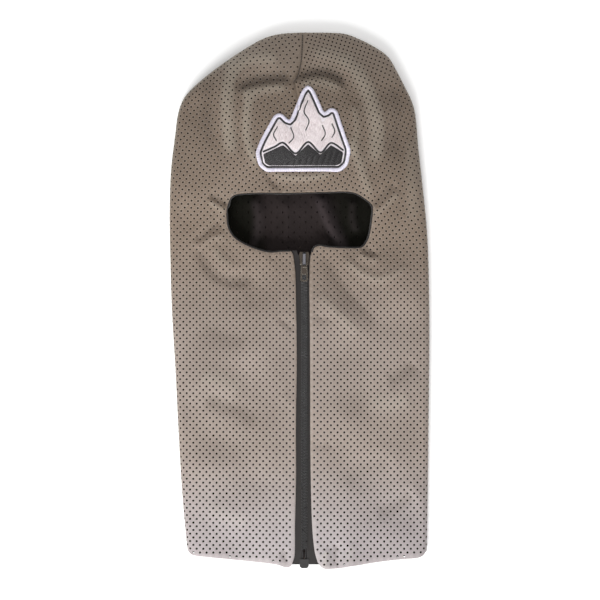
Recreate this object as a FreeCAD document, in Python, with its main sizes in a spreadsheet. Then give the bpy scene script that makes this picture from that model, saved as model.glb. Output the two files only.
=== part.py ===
"""Zip-front hood balaclava, lying flat on its back: a two-layer fabric hood, a sewn-on patch and a
moulded separating zip with a slider.  Millimetres, +Z up from the table, +Y towards the crown."""
import FreeCAD, Part
import math
import os

import Sketcher
from FreeCAD import Placement, Rotation, Vector

os.makedirs("parts", exist_ok=True)
doc = FreeCAD.newDocument("balaclava")

# ------------------------------------------------------------------------------- driving dimensions
SIZES = {
    # the hood as a whole
    "hood_length": 513.0,       # hem to crown
    "hood_width": 247.0,        # side fold to side fold at the face
    "neck_loft": 20.0,          # height of the front above the table, hem to face
    "head_loft": 38.0,          # the same at the brow
    "side_fold": 5.5,           # radius of the folded side edges
    "bed": 0.1,                 # how far the back is pressed flat by its weight
    "seam_line": 0.0,           # where the centre back seam lies across the hood
    "hem_rise": 12.0,           # how much higher the hem is at the sides than in the middle
    # the cloth
    "shell_thick": 1.2,         # perforated outer cloth
    "lining_thick": 0.8,        # inner cloth
    "sewing_gap": 0.5,          # room each side of the zip tape between the two cloths
    # the eye opening
    "eye_width": 138.0,
    "eye_height": 54.0,
    "eye_over_zip": 0.5,        # from the zip's upper end to the opening's lower edge
    "eye_upper_radius": 18.0,
    "eye_lower_radius": 22.0,
    "edge_roll": 1.4,           # width of the rolled edge round the opening
    "edge_clear": 0.1,
    # the patch on the forehead
    "patch_width": 90.0,
    "patch_height": 82.0,
    "patch_shift": 3.0,
    "patch_over_eye": 62.5,     # from the opening's upper edge to the patch's centre
    "patch_thick": 1.1,
    "patch_clear": 0.05,
    "border_width": 3.4,
    "thread_raise": 0.5,
    # the zip
    "zip_shift": 4.0,           # the zip's place across the hood
    "zip_rise": 1.0,            # from the lowest point of the hem to the retainer box
    "zip_length": 301.0,        # retainer box to the top of the chain
    "zip_window": 12.6,         # tape left showing between the two edges of the cloth
    "tape_edge": 16.0,          # outer edge of each tape from the zip's middle
    "tape_thick": 0.5,
    "tape_rise": 3.4,           # the tape ends this far above the bottom of the box
    "cord_middle": 1.75,
    "cord_radius": 0.65,
    "tooth_pitch": 2.75,
    "tooth_thick": 2.6,
    "tooth_outer": 3.0,         # outer end of a tooth from the zip's middle
    "tooth_reach": 1.0,         # how far its head crosses the middle
    "head_half": 0.7,
    "neck_half": 0.48,
    "root_half": 1.0,
    "tooth_bevel": 0.3,
    "first_tooth": 18.4,
    "stop_length": 2.2,
    "pin_middle": 1.45,
    "pin_radius": 0.9,
    "pin_top": 15.4,
    "pin_clear": 0.1,
    "box_width": 8.6,
    "box_height": 8.6,
    "box_thick": 4.2,
    "box_floor": 1.6,
    "box_round": 1.4,
    "film_thick": 0.15,
    "film_top": 16.4,
    # the slider
    "slider_length": 12.5,
    "slider_mouth": 10.0,
    "slider_tail": 8.4,
    "slider_over": 0.4,         # how far the closed slider stands above the chain
    "slider_clear": 0.3,
    "wing_thick": 1.1,
    "post_half": 0.8,
    "post_length": 3.4,
    "bridge_half": 1.5,
    "bridge_start": 0.4,
    "bridge_end": 12.1,
    "bridge_foot": 1.0,
    "bridge_high": 3.15,
    "bridge_roof": 0.9,
    "bridge_back": 8.1,
    "leaf_thick": 0.3,
    "pawl_half": 0.7,
    "pull_pivot": 2.5,          # from the slider's tail to the pull's pin
    "pull_pin": 0.7,
    "pull_height": 1.3,         # from the upper wing to the pin's axis
    "pull_length": 18.2,
    "pull_width": 6.9,
    "pull_thick": 1.4,
    "arm_width": 1.0,
    "arm_clear": 0.35,
    "eye_reach": 3.2,
    "window_wide": 4.3,
    "window_long": 4.8,
    "window_rise": 1.5,
    "rim": 0.9,
    "rim_depth": 0.25,
}

# The lay of the hood, hem to crown: at each station its name, the height it is measured from, the
# offset from there, how much narrower it is than the hood, its sideways shift and its loft.
HEM = "-Sizes.hood_length / 2"
CROWN = "Sizes.hood_length / 2"
ZIP_LOW = f"({HEM} + Sizes.zip_rise)"
EYE_LOW = f"({ZIP_LOW} + Sizes.zip_length + Sizes.eye_over_zip)"
EYE_HIGH = f"({EYE_LOW} + Sizes.eye_height)"
HEAD = f"({CROWN} - {EYE_HIGH})"
NECK_LOFT = "Sizes.neck_loft"
TEMPLE_LOFT = "0.55 * Sizes.neck_loft + 0.45 * Sizes.head_loft"
STATIONS = [
    ("hem", HEM, 18.0, 6.5, NECK_LOFT),
    ("neck", f"{HEM} + 0.31 * Sizes.hood_length", 5.0, 2.6, NECK_LOFT),
    ("chin", f"{HEM} + 0.48 * Sizes.hood_length", 1.0, 0.7, NECK_LOFT),
    ("face", EYE_LOW, 0.0, -0.5, NECK_LOFT),
    ("temple", f"{EYE_LOW} + 0.7 * Sizes.eye_height", 1.0, -1.2, TEMPLE_LOFT),
    ("brow", f"{EYE_HIGH} + 0.26 * {HEAD}", 12.0, -4.0, "Sizes.head_loft"),
    ("forehead", f"{EYE_HIGH} + 0.57 * {HEAD}", 29.0, -4.5, "0.96 * Sizes.head_loft"),
    ("upper", f"{EYE_HIGH} + 0.72 * {HEAD}", 51.0, -2.0, "0.86 * Sizes.head_loft"),
    ("shoulder", f"{EYE_HIGH} + 0.84 * {HEAD}", 89.0, 4.0, "0.68 * Sizes.head_loft"),
    ("dome", f"{EYE_HIGH} + 0.94 * {HEAD}", 142.0, 7.0, "0.48 * Sizes.head_loft"),
    ("crown", CROWN, 198.0, 7.0, "2 * Sizes.side_fold + 1.6"),
]

sizes = doc.addObject("Spreadsheet::Sheet", "Sizes")
cells = dict(SIZES)
for label, _, taper, shift, _ in STATIONS:
    cells[f"{label}_taper"] = taper
    cells[f"{label}_shift"] = shift
for row, (alias, size) in enumerate(cells.items(), start=1):
    sizes.set(f"A{row}", alias)
    sizes.set(f"B{row}", str(size))
    sizes.setAlias(f"B{row}", alias)
doc.recompute()

reader = doc.addObject("App::FeaturePython", "Reader")


def number(expression):
    """The value of an expression in the sheet's cells."""
    return float(reader.evalExpression(expression))


# ------------------------------------------------------------------------------------ derived sizes
GAP = "(Sizes.tape_thick + 2 * Sizes.sewing_gap)"
SHELL_IN = "Sizes.shell_thick"
LINING_OUT = f"(Sizes.shell_thick + {GAP})"
LINING_IN = f"({LINING_OUT} + Sizes.lining_thick)"
PATCH_LOW = "(-Sizes.patch_clear)"
PATCH_TOP = "(-Sizes.patch_clear - Sizes.patch_thick)"
THREAD_LOW = "(-1.5 * Sizes.patch_clear - Sizes.patch_thick)"
THREAD_TOP = "(-Sizes.patch_clear - Sizes.patch_thick - Sizes.thread_raise)"
ZIP_Z = f"(Sizes.neck_loft - Sizes.bed - Sizes.shell_thick - {GAP} / 2)"
PATCH_Y = f"({EYE_HIGH} + Sizes.patch_over_eye)"
EYE_X = "(Sizes.temple_shift + 1.5)"
WING_IN = "(Sizes.tooth_thick / 2 + Sizes.slider_clear)"
WING_OUT = f"({WING_IN} + Sizes.wing_thick)"
SLIDER_Y = f"({ZIP_LOW} + Sizes.zip_length + Sizes.slider_over - Sizes.slider_length)"
CHAIN_TOP = "(Sizes.zip_length + Sizes.slider_over - Sizes.post_length - Sizes.stop_length)"
FAR = "2 * Sizes.hood_length"
HIGH = "(2 * Sizes.head_loft)"


# ------------------------------------------------------------------------------------ sketch helpers
def bind(thing, prop, expression):
    thing.setExpression(prop, expression)


def tie(sketch, kind, *where, to):
    """Add one driving constraint and bind it to an expression."""
    value = number(to)
    index = sketch.addConstraint(Sketcher.Constraint(kind, *where, value))
    bind(sketch, f"Constraints[{index}]", to)


def body_sketch(body, name, plane, lift="0"):
    """A sketch on one of the body's own origin planes, lifted along that plane's normal."""
    support = next(o for o in body.Origin.OriginFeatures if o.Role == plane)
    sketch = body.newObject("Sketcher::SketchObject", name)
    sketch.AttachmentSupport = [(support, "")]
    sketch.MapMode = "FlatFace"
    bind(sketch, ".AttachmentOffset.Base.z", lift)
    return sketch


def level_sketch(name):
    """A free sketch seen from above."""
    return doc.addObject("Sketcher::SketchObject", name)


def station_sketch(name, y):
    """A free sketch across the hood: its x is +X and its y is +Z."""
    sketch = doc.addObject("Sketcher::SketchObject", name)
    sketch.Placement = Placement(Vector(0, number(y), 0), Rotation(Vector(1, 0, 0), 90))
    bind(sketch, ".Placement.Base.y", y)
    return sketch


def draw_polygon(sketch, corners):
    """A closed outline of straight edges, each corner bound to its own pair of expressions."""
    points = [Vector(number(x), number(y), 0) for x, y in corners]
    first = sketch.GeometryCount
    for start, end in zip(points, points[1:] + points[:1]):
        sketch.addGeometry(Part.LineSegment(start, end), False)
    count = len(points)
    for i in range(count):
        following = first + (i + 1) % count
        sketch.addConstraint(Sketcher.Constraint("Coincident", first + i, 2, following, 1))
    for i, (x, y) in enumerate(corners):
        tie(sketch, "DistanceX", -1, 1, first + i, 1, to=x)
        tie(sketch, "DistanceY", -1, 1, first + i, 1, to=y)


def draw_rectangle(sketch, left, right, low, high):
    draw_polygon(sketch, [(left, low), (right, low), (right, high), (left, high)])


def draw_rounded(sketch, left, right, low, high, low_radius, high_radius):
    """A rectangle with one radius at its two lower corners and one at its two upper corners."""
    x0, x1, y0, y1 = (number(e) for e in (left, right, low, high))
    r0, r1 = number(low_radius), number(high_radius)
    first = sketch.GeometryCount
    turn = math.pi / 2

    def corner(x, y, radius, start):
        circle = Part.Circle(Vector(x, y, 0), Vector(0, 0, 1), radius)
        sketch.addGeometry(Part.ArcOfCircle(circle, start, start + turn), False)

    def edge(xa, ya, xb, yb):
        sketch.addGeometry(Part.LineSegment(Vector(xa, ya, 0), Vector(xb, yb, 0)), False)

    edge(x0 + r0, y0, x1 - r0, y0)
    corner(x1 - r0, y0 + r0, r0, -turn)
    edge(x1, y0 + r0, x1, y1 - r1)
    corner(x1 - r1, y1 - r1, r1, 0.0)
    edge(x1 - r1, y1, x0 + r1, y1)
    corner(x0 + r1, y1 - r1, r1, turn)
    edge(x0, y1 - r1, x0, y0 + r0)
    corner(x0 + r0, y0 + r0, r0, 2 * turn)
    for i in range(8):
        sketch.addConstraint(Sketcher.Constraint("Tangent", first + i, 2, first + (i + 1) % 8, 1))
    for i, kind in ((0, "Horizontal"), (2, "Vertical"), (4, "Horizontal"), (6, "Vertical")):
        sketch.addConstraint(Sketcher.Constraint(kind, first + i))
    for i, radius in ((1, low_radius), (3, high_radius), (5, high_radius), (7, low_radius)):
        tie(sketch, "Radius", first + i, to=radius)
    tie(sketch, "DistanceX", -1, 1, first + 6, 1, to=left)
    tie(sketch, "DistanceX", -1, 1, first + 2, 1, to=right)
    tie(sketch, "DistanceY", -1, 1, first, 1, to=low)
    tie(sketch, "DistanceY", -1, 1, first + 4, 1, to=high)


def draw_circle(sketch, x, y, radius):
    circle = Part.Circle(Vector(number(x), number(y), 0), Vector(0, 0, 1), number(radius))
    index = sketch.addGeometry(circle, False)
    tie(sketch, "DistanceX", -1, 1, index, 3, to=x)
    tie(sketch, "DistanceY", -1, 1, index, 3, to=y)
    tie(sketch, "Radius", index, to=radius)


# ----------------------------------------------------------------------------------- solid helpers
def prism(name, sketch, height=HIGH):
    """A sketch or wire made into an upright solid."""
    solid = doc.addObject("Part::Extrusion", name)
    solid.Base = sketch
    solid.DirMode = "Custom"
    solid.Dir = Vector(0, 0, 1)
    solid.Solid = True
    bind(solid, "LengthFwd", height)
    return solid


def boolean(kind, name, base, tool):
    result = doc.addObject(f"Part::{kind}", name)
    result.Base = base
    result.Tool = tool
    return result


def union(name, shapes):
    result = doc.addObject("Part::MultiFuse", name)
    result.Shapes = shapes
    return result


def pad(body, sketch, length, symmetric=False, reverse=False):
    feature = body.newObject("PartDesign::Pad", f"{sketch.Name}_pad")
    feature.Profile = sketch
    feature.SideType = "Symmetric" if symmetric else "One side"
    feature.Reversed = reverse
    bind(feature, "Length", length)
    return feature


def pocket(body, sketch, length, symmetric=False, reverse=False):
    """Cut a sketch into the body; the volume must go down."""
    doc.recompute()
    before = body.Shape.Volume
    feature = body.newObject("PartDesign::Pocket", f"{sketch.Name}_pocket")
    feature.Profile = sketch
    feature.SideType = "Symmetric" if symmetric else "One side"
    feature.Reversed = reverse
    bind(feature, "Length", length)
    doc.recompute()
    assert body.Shape.Volume < before - 1e-6, f"{feature.Name} cuts nothing"
    return feature


def break_edges(body, kind, name, size, wanted):
    """Fillet or chamfer the edges that a test picks out."""
    doc.recompute()
    base = body.Tip
    names = [f"Edge{i}" for i, edge in enumerate(base.Shape.Edges, start=1) if wanted(edge)]
    feature = body.newObject(f"PartDesign::{kind}", name)
    feature.Base = (base, names)
    bind(feature, "Radius" if kind == "Fillet" else "Size", size)
    return feature


def upright(edge):
    """True for a straight edge along Z."""
    ends = [vertex.Point for vertex in edge.Vertexes]
    return len(ends) == 2 and abs(abs(ends[1].z - ends[0].z) - edge.Length) < 1e-6


def zip_body(name, y=ZIP_LOW, x="Sizes.zip_shift", z=ZIP_Z):
    """A body in the zip's own frame: x across, y along from the box, z up from the tape's middle."""
    body = doc.addObject("PartDesign::Body", name)
    body.Label = name
    for axis, place in (("x", x), ("y", y), ("z", z)):
        bind(body, f".Placement.Base.{axis}", place)
    return body


def mirrored(side, expression):
    """The same distance on the left (-1) or the right (+1) of the zip."""
    return f"{side} * ({expression})"


NODES = []


def node(thing, name):
    thing.Label = name
    NODES.append(thing)
    return thing


# ---------------------------------------------------------------------------- the form of the hood
def section(name, y, width, shift, loft, inset):
    """One cross-section: flat below, round side folds, and a low arc over the top."""
    sketch = station_sketch(name, y)
    reach = f"({width} / 2 - Sizes.side_fold)"
    fold = f"(Sizes.side_fold - {inset})"
    fold_z = "(Sizes.side_fold - Sizes.bed)"
    over = f"(({loft}) - 2 * Sizes.side_fold)"
    crest = f"(({reach}^2 + ({loft}) * {over}) / (2 * {over}) - {inset})"
    a, r, zf, big = number(reach), number(fold), number(fold_z), number(crest)
    cx, top = number(shift), number(f"{loft} - Sizes.bed - {inset}")
    zc = top - big
    lean = math.atan2(zf - zc, a)
    up = Vector(0, 0, 1)
    right = Part.Circle(Vector(cx + a, zf, 0), up, r)
    arch = Part.Circle(Vector(cx, zc, 0), up, big)
    left = Part.Circle(Vector(cx - a, zf, 0), up, r)
    sketch.addGeometry(Part.LineSegment(Vector(cx - a, zf - r, 0), Vector(cx + a, zf - r, 0)), False)
    sketch.addGeometry(Part.ArcOfCircle(right, -math.pi / 2, lean), False)
    sketch.addGeometry(Part.ArcOfCircle(arch, lean, math.pi - lean), False)
    sketch.addGeometry(Part.ArcOfCircle(left, math.pi - lean, 1.5 * math.pi), False)
    for i in range(4):
        sketch.addConstraint(Sketcher.Constraint("Tangent", i, 2, (i + 1) % 4, 1))
    sketch.addConstraint(Sketcher.Constraint("Horizontal", 0))
    sketch.addConstraint(Sketcher.Constraint("Equal", 1, 3))
    tie(sketch, "Radius", 1, to=fold)
    tie(sketch, "Radius", 2, to=crest)
    tie(sketch, "DistanceX", -1, 1, 1, 3, to=f"{shift} + {reach}")
    tie(sketch, "DistanceX", -1, 1, 3, 3, to=f"{shift} - {reach}")
    tie(sketch, "DistanceY", -1, 1, 1, 3, to=fold_z)
    return sketch


def form(name, inset):
    """The hood's whole form, inset evenly from its outer skin."""
    sections = []
    for label, y, _, _, loft in STATIONS:
        if label == "hem" and number(inset) > 0:
            y = f"{y} - 4 * Sizes.side_fold"
        if label == "crown":
            y = f"{y} - {inset}"
        width = f"(Sizes.hood_width - Sizes.{label}_taper)"
        sections.append(section(f"{name}_{label}", y, width, f"Sizes.{label}_shift", loft, inset))
    loft = doc.addObject("Part::Loft", name)
    loft.Sections = sections
    loft.Solid = True
    loft.Ruled = True
    return loft


def eye_prism(name, grow):
    """The eye opening, grown outwards by a margin."""
    sketch = level_sketch(f"{name}_outline")
    half = f"(Sizes.eye_width / 2 + {grow})"
    draw_rounded(
        sketch, f"{EYE_X} - {half}", f"{EYE_X} + {half}", f"{EYE_LOW} - {grow}", f"{EYE_HIGH} + {grow}",
        f"Sizes.eye_lower_radius + {grow}", f"Sizes.eye_upper_radius + {grow}")
    solid = prism(name, sketch)
    bind(solid, ".Placement.Base.z", "2 * Sizes.side_fold")
    return solid


def zip_slot():
    sketch = level_sketch("zip_slot_outline")
    half = "Sizes.zip_window / 2"
    draw_rectangle(
        sketch, f"Sizes.zip_shift - {half}", f"Sizes.zip_shift + {half}",
        f"{HEM} - 5 * Sizes.side_fold", f"{EYE_LOW} + Sizes.eye_lower_radius")
    solid = prism("zip_slot", sketch)
    bind(solid, ".Placement.Base.z", "2 * Sizes.side_fold - 0.5")
    return solid


def below_hem():
    """Everything below the hem's curve: a box less a wide upright cylinder that stands on the hem."""
    span = "(Sizes.hood_width - Sizes.hem_taper) / 2"
    radius = f"((({span})^2 + Sizes.hem_rise^2) / (2 * Sizes.hem_rise))"
    block = doc.addObject("Part::Box", "hem_block")
    bind(block, "Length", "2 * Sizes.hood_width")
    bind(block, "Width", f"{FAR} / 2")
    bind(block, "Height", HIGH)
    bind(block, ".Placement.Base.x", "-Sizes.hood_width")
    bind(block, ".Placement.Base.y", f"{HEM} + 2 * Sizes.hem_rise - {FAR} / 2")
    bind(block, ".Placement.Base.z", "-Sizes.head_loft / 2")
    bend = doc.addObject("Part::Cylinder", "hem_bend")
    bind(bend, "Radius", radius)
    bind(bend, "Height", f"2 * {HIGH}")
    bind(bend, ".Placement.Base.x", "Sizes.hem_shift + 2 * Sizes.zip_shift")
    bind(bend, ".Placement.Base.y", f"{HEM} + {radius}")
    bind(bend, ".Placement.Base.z", "-Sizes.head_loft")
    return boolean("Cut", "below_hem", block, bend)


def half_space(name, side):
    """All of the space above the table on one side of the centre back seam."""
    box = doc.addObject("Part::Box", name)
    bind(box, "Length", "2 * Sizes.hood_width")
    bind(box, "Width", FAR)
    bind(box, "Height", HIGH)
    reach = " - 2 * Sizes.hood_width" if side < 0 else ""
    bind(box, ".Placement.Base.x", f"Sizes.seam_line{reach}")
    bind(box, ".Placement.Base.y", f"-{FAR} / 2")
    return box


outer_form = form("outer_form", "0")
shell_form = form("shell_form", SHELL_IN)
lining_form = form("lining_form", LINING_OUT)
cavity_form = form("cavity_form", LINING_IN)
slot = zip_slot()
hem_waste = below_hem()
eye_hole = eye_prism("eye_hole", "0")
rolled_hole = eye_prism("rolled_hole", "Sizes.edge_roll")
cloth_hole = eye_prism("cloth_hole", "(Sizes.edge_roll + Sizes.edge_clear)")
cloth_waste = union("cloth_waste", [slot, hem_waste, cloth_hole])
halves = {"left": half_space("left_half", -1), "right": half_space("right_half", 1)}

CLOTHS = (("outer_shell", outer_form, shell_form), ("lining", lining_form, cavity_form))
for cloth, outside, inside in CLOTHS:
    layer = boolean("Cut", f"{cloth}_layer", outside, inside)
    cut_out = boolean("Cut", f"{cloth}_cut_out", layer, cloth_waste)
    for side, half in halves.items():
        node(boolean("Common", f"{cloth}_{side}", cut_out, half), f"{cloth}_{side}")

# the thin rolled edge round the eye opening, through both cloths
both_cloths = boolean("Cut", "both_cloths", outer_form, cavity_form)
roll_ring = boolean("Cut", "roll_ring", rolled_hole, union("roll_waste", [eye_hole, slot]))
node(boolean("Common", "eye_edge_roll", both_cloths, roll_ring), "eye_edge_roll")


# --------------------------------------------------------------------------------- forehead patch
def patch_sketch(name, corners):
    """A figure whose corners are parts of the patch's half width and half height."""
    sketch = level_sketch(name)
    across = "Sizes.patch_width / 2"
    along = "Sizes.patch_height / 2"
    draw_polygon(sketch, [
        (f"Sizes.patch_shift + {x} * {across}", f"{PATCH_Y} + {y} * {along}") for x, y in corners])
    return sketch


def inset_outline(name, source, inset):
    """The same outline moved inwards by an even margin."""
    line = doc.addObject("Part::Offset2D", name)
    line.Source = source
    line.Join = "Intersection"
    bind(line, "Value", f"-({inset})")
    return line


def patch_prism(name, outline):
    solid = prism(name, outline)
    bind(solid, ".Placement.Base.z", "2 * Sizes.side_fold")
    return solid


# A plain mountain ridge of three peaks, clockwise from its left foot.
RIDGE = [
    (-1.0, -0.56), (-0.88, -0.26), (-0.60, 0.30), (-0.46, 0.34), (-0.28, 0.14), (-0.02, 0.86), (0.10, 1.0),
    (0.22, 0.88), (0.44, 0.32), (0.56, 0.46), (0.70, 0.42), (0.90, -0.22), (1.0, -0.50), (0.94, -0.84),
    (0.78, -1.0), (-0.78, -1.0), (-0.94, -0.86)]
SNOW = [
    (-0.84, -0.50), (-0.55, 0.14), (-0.40, 0.12), (-0.26, -0.06), (0.04, 0.78), (0.14, 0.76), (0.40, 0.12),
    (0.52, 0.26), (0.62, 0.22), (0.84, -0.46), (0.58, -0.30), (0.36, -0.52), (0.10, -0.28), (-0.16, -0.54),
    (-0.42, -0.30)]
ROCK = [
    (-0.84, -0.60), (-0.42, -0.40), (-0.16, -0.64), (0.10, -0.38), (0.36, -0.62), (0.58, -0.40),
    (0.84, -0.56), (0.80, -0.80), (0.70, -0.86), (-0.70, -0.86), (-0.80, -0.80)]

patch_low = form("patch_low", PATCH_LOW)
patch_top = form("patch_top", PATCH_TOP)
thread_low = form("thread_low", THREAD_LOW)
thread_top = form("thread_top", THREAD_TOP)
ridge = patch_sketch("ridge_outline", RIDGE)
whole_patch = patch_prism("whole_patch", ridge)
inner_patch = patch_prism("inner_patch", inset_outline("inner_outline", ridge, "Sizes.border_width"))
cloth_patch = patch_prism(
    "cloth_patch", inset_outline("cloth_outline", ridge, "Sizes.border_width + Sizes.patch_clear"))
border_ring = boolean("Cut", "border_ring", whole_patch, inner_patch)
base_skin = boolean("Cut", "base_skin", patch_top, patch_low)
border_skin = boolean("Cut", "border_skin", thread_top, patch_low)
thread_skin = boolean("Cut", "thread_skin", thread_top, thread_low)
snow = patch_prism("snow", patch_sketch("snow_outline", SNOW))
rock = patch_prism("rock", patch_sketch("rock_outline", ROCK))
node(boolean("Common", "patch_base", base_skin, cloth_patch), "patch_base")
node(boolean("Common", "patch_border", border_skin, border_ring), "patch_border")
node(boolean("Common", "patch_snow_stitching", thread_skin, snow), "patch_snow_stitching")
node(boolean("Common", "patch_rock_stitching", thread_skin, rock), "patch_rock_stitching")


# ------------------------------------------------------------------------------------------- zip
SIDES = {"left": -1, "right": 1}
CORD_OUT = "(Sizes.cord_middle + Sizes.cord_radius)"


def make_tape(name, side):
    """The woven tape; its upper end stops just short of the opening's rolled edge."""
    body = zip_body(name)
    outline = body_sketch(body, f"{name}_outline", "XY_Plane")
    draw_rectangle(
        outline, mirrored(side, CORD_OUT), mirrored(side, "Sizes.tape_edge"), "Sizes.tape_rise",
        "Sizes.zip_length - Sizes.edge_roll")
    pad(body, outline, "Sizes.tape_thick", symmetric=True)
    return body


def make_cord(name, side):
    """The woven bead that the teeth are moulded on."""
    body = zip_body(name)
    start = "(Sizes.pin_top + Sizes.pin_clear)"
    outline = body_sketch(body, f"{name}_outline", "XZ_Plane", lift=f"-{start}")
    draw_circle(outline, mirrored(side, "Sizes.cord_middle"), "0", "Sizes.cord_radius")
    pad(body, outline, f"{CHAIN_TOP} + Sizes.stop_length - {start}", reverse=True)
    return body


def make_teeth(name, side):
    """One tooth with a waisted head, repeated up the tape; the right row stands half a pitch higher."""
    body = zip_body(name)
    outline = body_sketch(body, f"{name}_outline", "XY_Plane")
    start = "Sizes.first_tooth" if side < 0 else "(Sizes.first_tooth + Sizes.tooth_pitch / 2)"
    waist = "(-0.2 * Sizes.tooth_reach)"
    root = "(Sizes.tooth_reach + 0.15)"
    profile = [
        ("-Sizes.tooth_reach", "0.7 * Sizes.head_half"), (waist, "Sizes.head_half"),
        (f"{waist} + 0.3", "Sizes.neck_half"), (root, "Sizes.neck_half"), (root, "Sizes.root_half"),
        ("Sizes.tooth_outer - Sizes.tooth_bevel", "Sizes.root_half"),
        ("Sizes.tooth_outer", "Sizes.root_half - Sizes.tooth_bevel")]
    upper = [(mirrored(side, x), f"{start} + {y}") for x, y in profile]
    lower = [(mirrored(side, x), f"{start} - {y}") for x, y in reversed(profile)]
    draw_polygon(outline, upper + lower)
    tooth = pad(body, outline, "Sizes.tooth_thick", symmetric=True)
    doc.recompute()
    row = body.newObject("PartDesign::LinearPattern", f"{name}_row")
    row.Originals = [tooth]
    row.Direction = (next(o for o in body.Origin.OriginFeatures if o.Role == "Y_Axis"), [""])
    row.Mode = "Spacing"
    room = f"({CHAIN_TOP} - Sizes.slider_clear - Sizes.head_half - {start})"
    bind(row, "Offset", "Sizes.tooth_pitch")
    bind(row, "Occurrences", f"floor({room} / Sizes.tooth_pitch)")
    body.Tip = row
    return body


def make_stop(name, side):
    body = zip_body(name)
    outline = body_sketch(body, f"{name}_outline", "XY_Plane")
    draw_rectangle(
        outline, mirrored(side, "Sizes.post_half + Sizes.slider_clear"), mirrored(side, "Sizes.tooth_outer"),
        CHAIN_TOP, f"{CHAIN_TOP} + Sizes.stop_length")
    pad(body, outline, "0.9 * Sizes.tooth_thick", symmetric=True)
    break_edges(body, "Fillet", f"{name}_round", "0.4", upright)
    return body


def make_pin(name, side):
    """A round pin on the tape's edge: from inside the retainer box up to the first tooth."""
    body = zip_body(name)
    outline = body_sketch(body, f"{name}_outline", "XZ_Plane", lift="-(Sizes.box_floor + Sizes.pin_clear)")
    draw_circle(outline, mirrored(side, "Sizes.pin_middle"), "0", "Sizes.pin_radius")
    pad(body, outline, "Sizes.pin_top - Sizes.box_floor - Sizes.pin_clear", reverse=True)
    break_edges(body, "Chamfer", f"{name}_ends", "0.3", lambda edge: True)
    return body


def make_box():
    body = zip_body("retainer_box")
    half = "Sizes.box_width / 2"
    outline = body_sketch(body, "box_outline", "XY_Plane")
    draw_rounded(
        outline, f"-{half}", half, "0", "Sizes.box_height", "2 * Sizes.box_round", "0.4 * Sizes.box_round")
    pad(body, outline, "Sizes.box_thick", symmetric=True)
    doc.recompute()
    bores = body_sketch(body, "box_bores", "XZ_Plane", lift="-Sizes.box_floor")
    for side in SIDES.values():
        draw_circle(bores, mirrored(side, "Sizes.pin_middle"), "0", "Sizes.pin_radius + Sizes.pin_clear")
    pocket(body, bores, "Sizes.box_height")
    slit = body_sketch(body, "box_slit", "XZ_Plane", lift="-Sizes.tape_rise + Sizes.pin_clear")
    tall = "(Sizes.tape_thick / 2 + Sizes.film_thick + Sizes.pin_clear / 2)"
    for side in SIDES.values():
        near, far = mirrored(side, "Sizes.pin_middle"), mirrored(side, "Sizes.box_width")
        draw_rectangle(slit, near, far, f"-{tall}", tall)
    pocket(body, slit, "Sizes.box_height")
    return body


def make_film(name, side):
    """The clear film that stiffens the end of the tape, on its upper face."""
    body = zip_body(name)
    outline = body_sketch(body, f"{name}_outline", "XY_Plane", lift="Sizes.tape_thick / 2")
    draw_rectangle(
        outline, mirrored(side, f"{CORD_OUT} + Sizes.pin_clear"), mirrored(side, "Sizes.tape_edge"),
        "Sizes.tape_rise", "Sizes.film_top")
    pad(body, outline, "Sizes.film_thick")
    return body


for side_name, side in SIDES.items():
    node(make_tape(f"zip_tape_{side_name}", side), f"zip_tape_{side_name}")
    node(make_cord(f"zip_cord_{side_name}", side), f"zip_cord_{side_name}")
    node(make_teeth(f"zip_teeth_{side_name}", side), f"zip_teeth_{side_name}")
    node(make_stop(f"top_stop_{side_name}", side), f"top_stop_{side_name}")
    node(make_film(f"tape_end_film_{side_name}", side), f"tape_end_film_{side_name}")
node(make_pin("insertion_pin", -1), "insertion_pin")
node(make_pin("retainer_pin", 1), "retainer_pin")
node(make_box(), "retainer_box")


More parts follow.
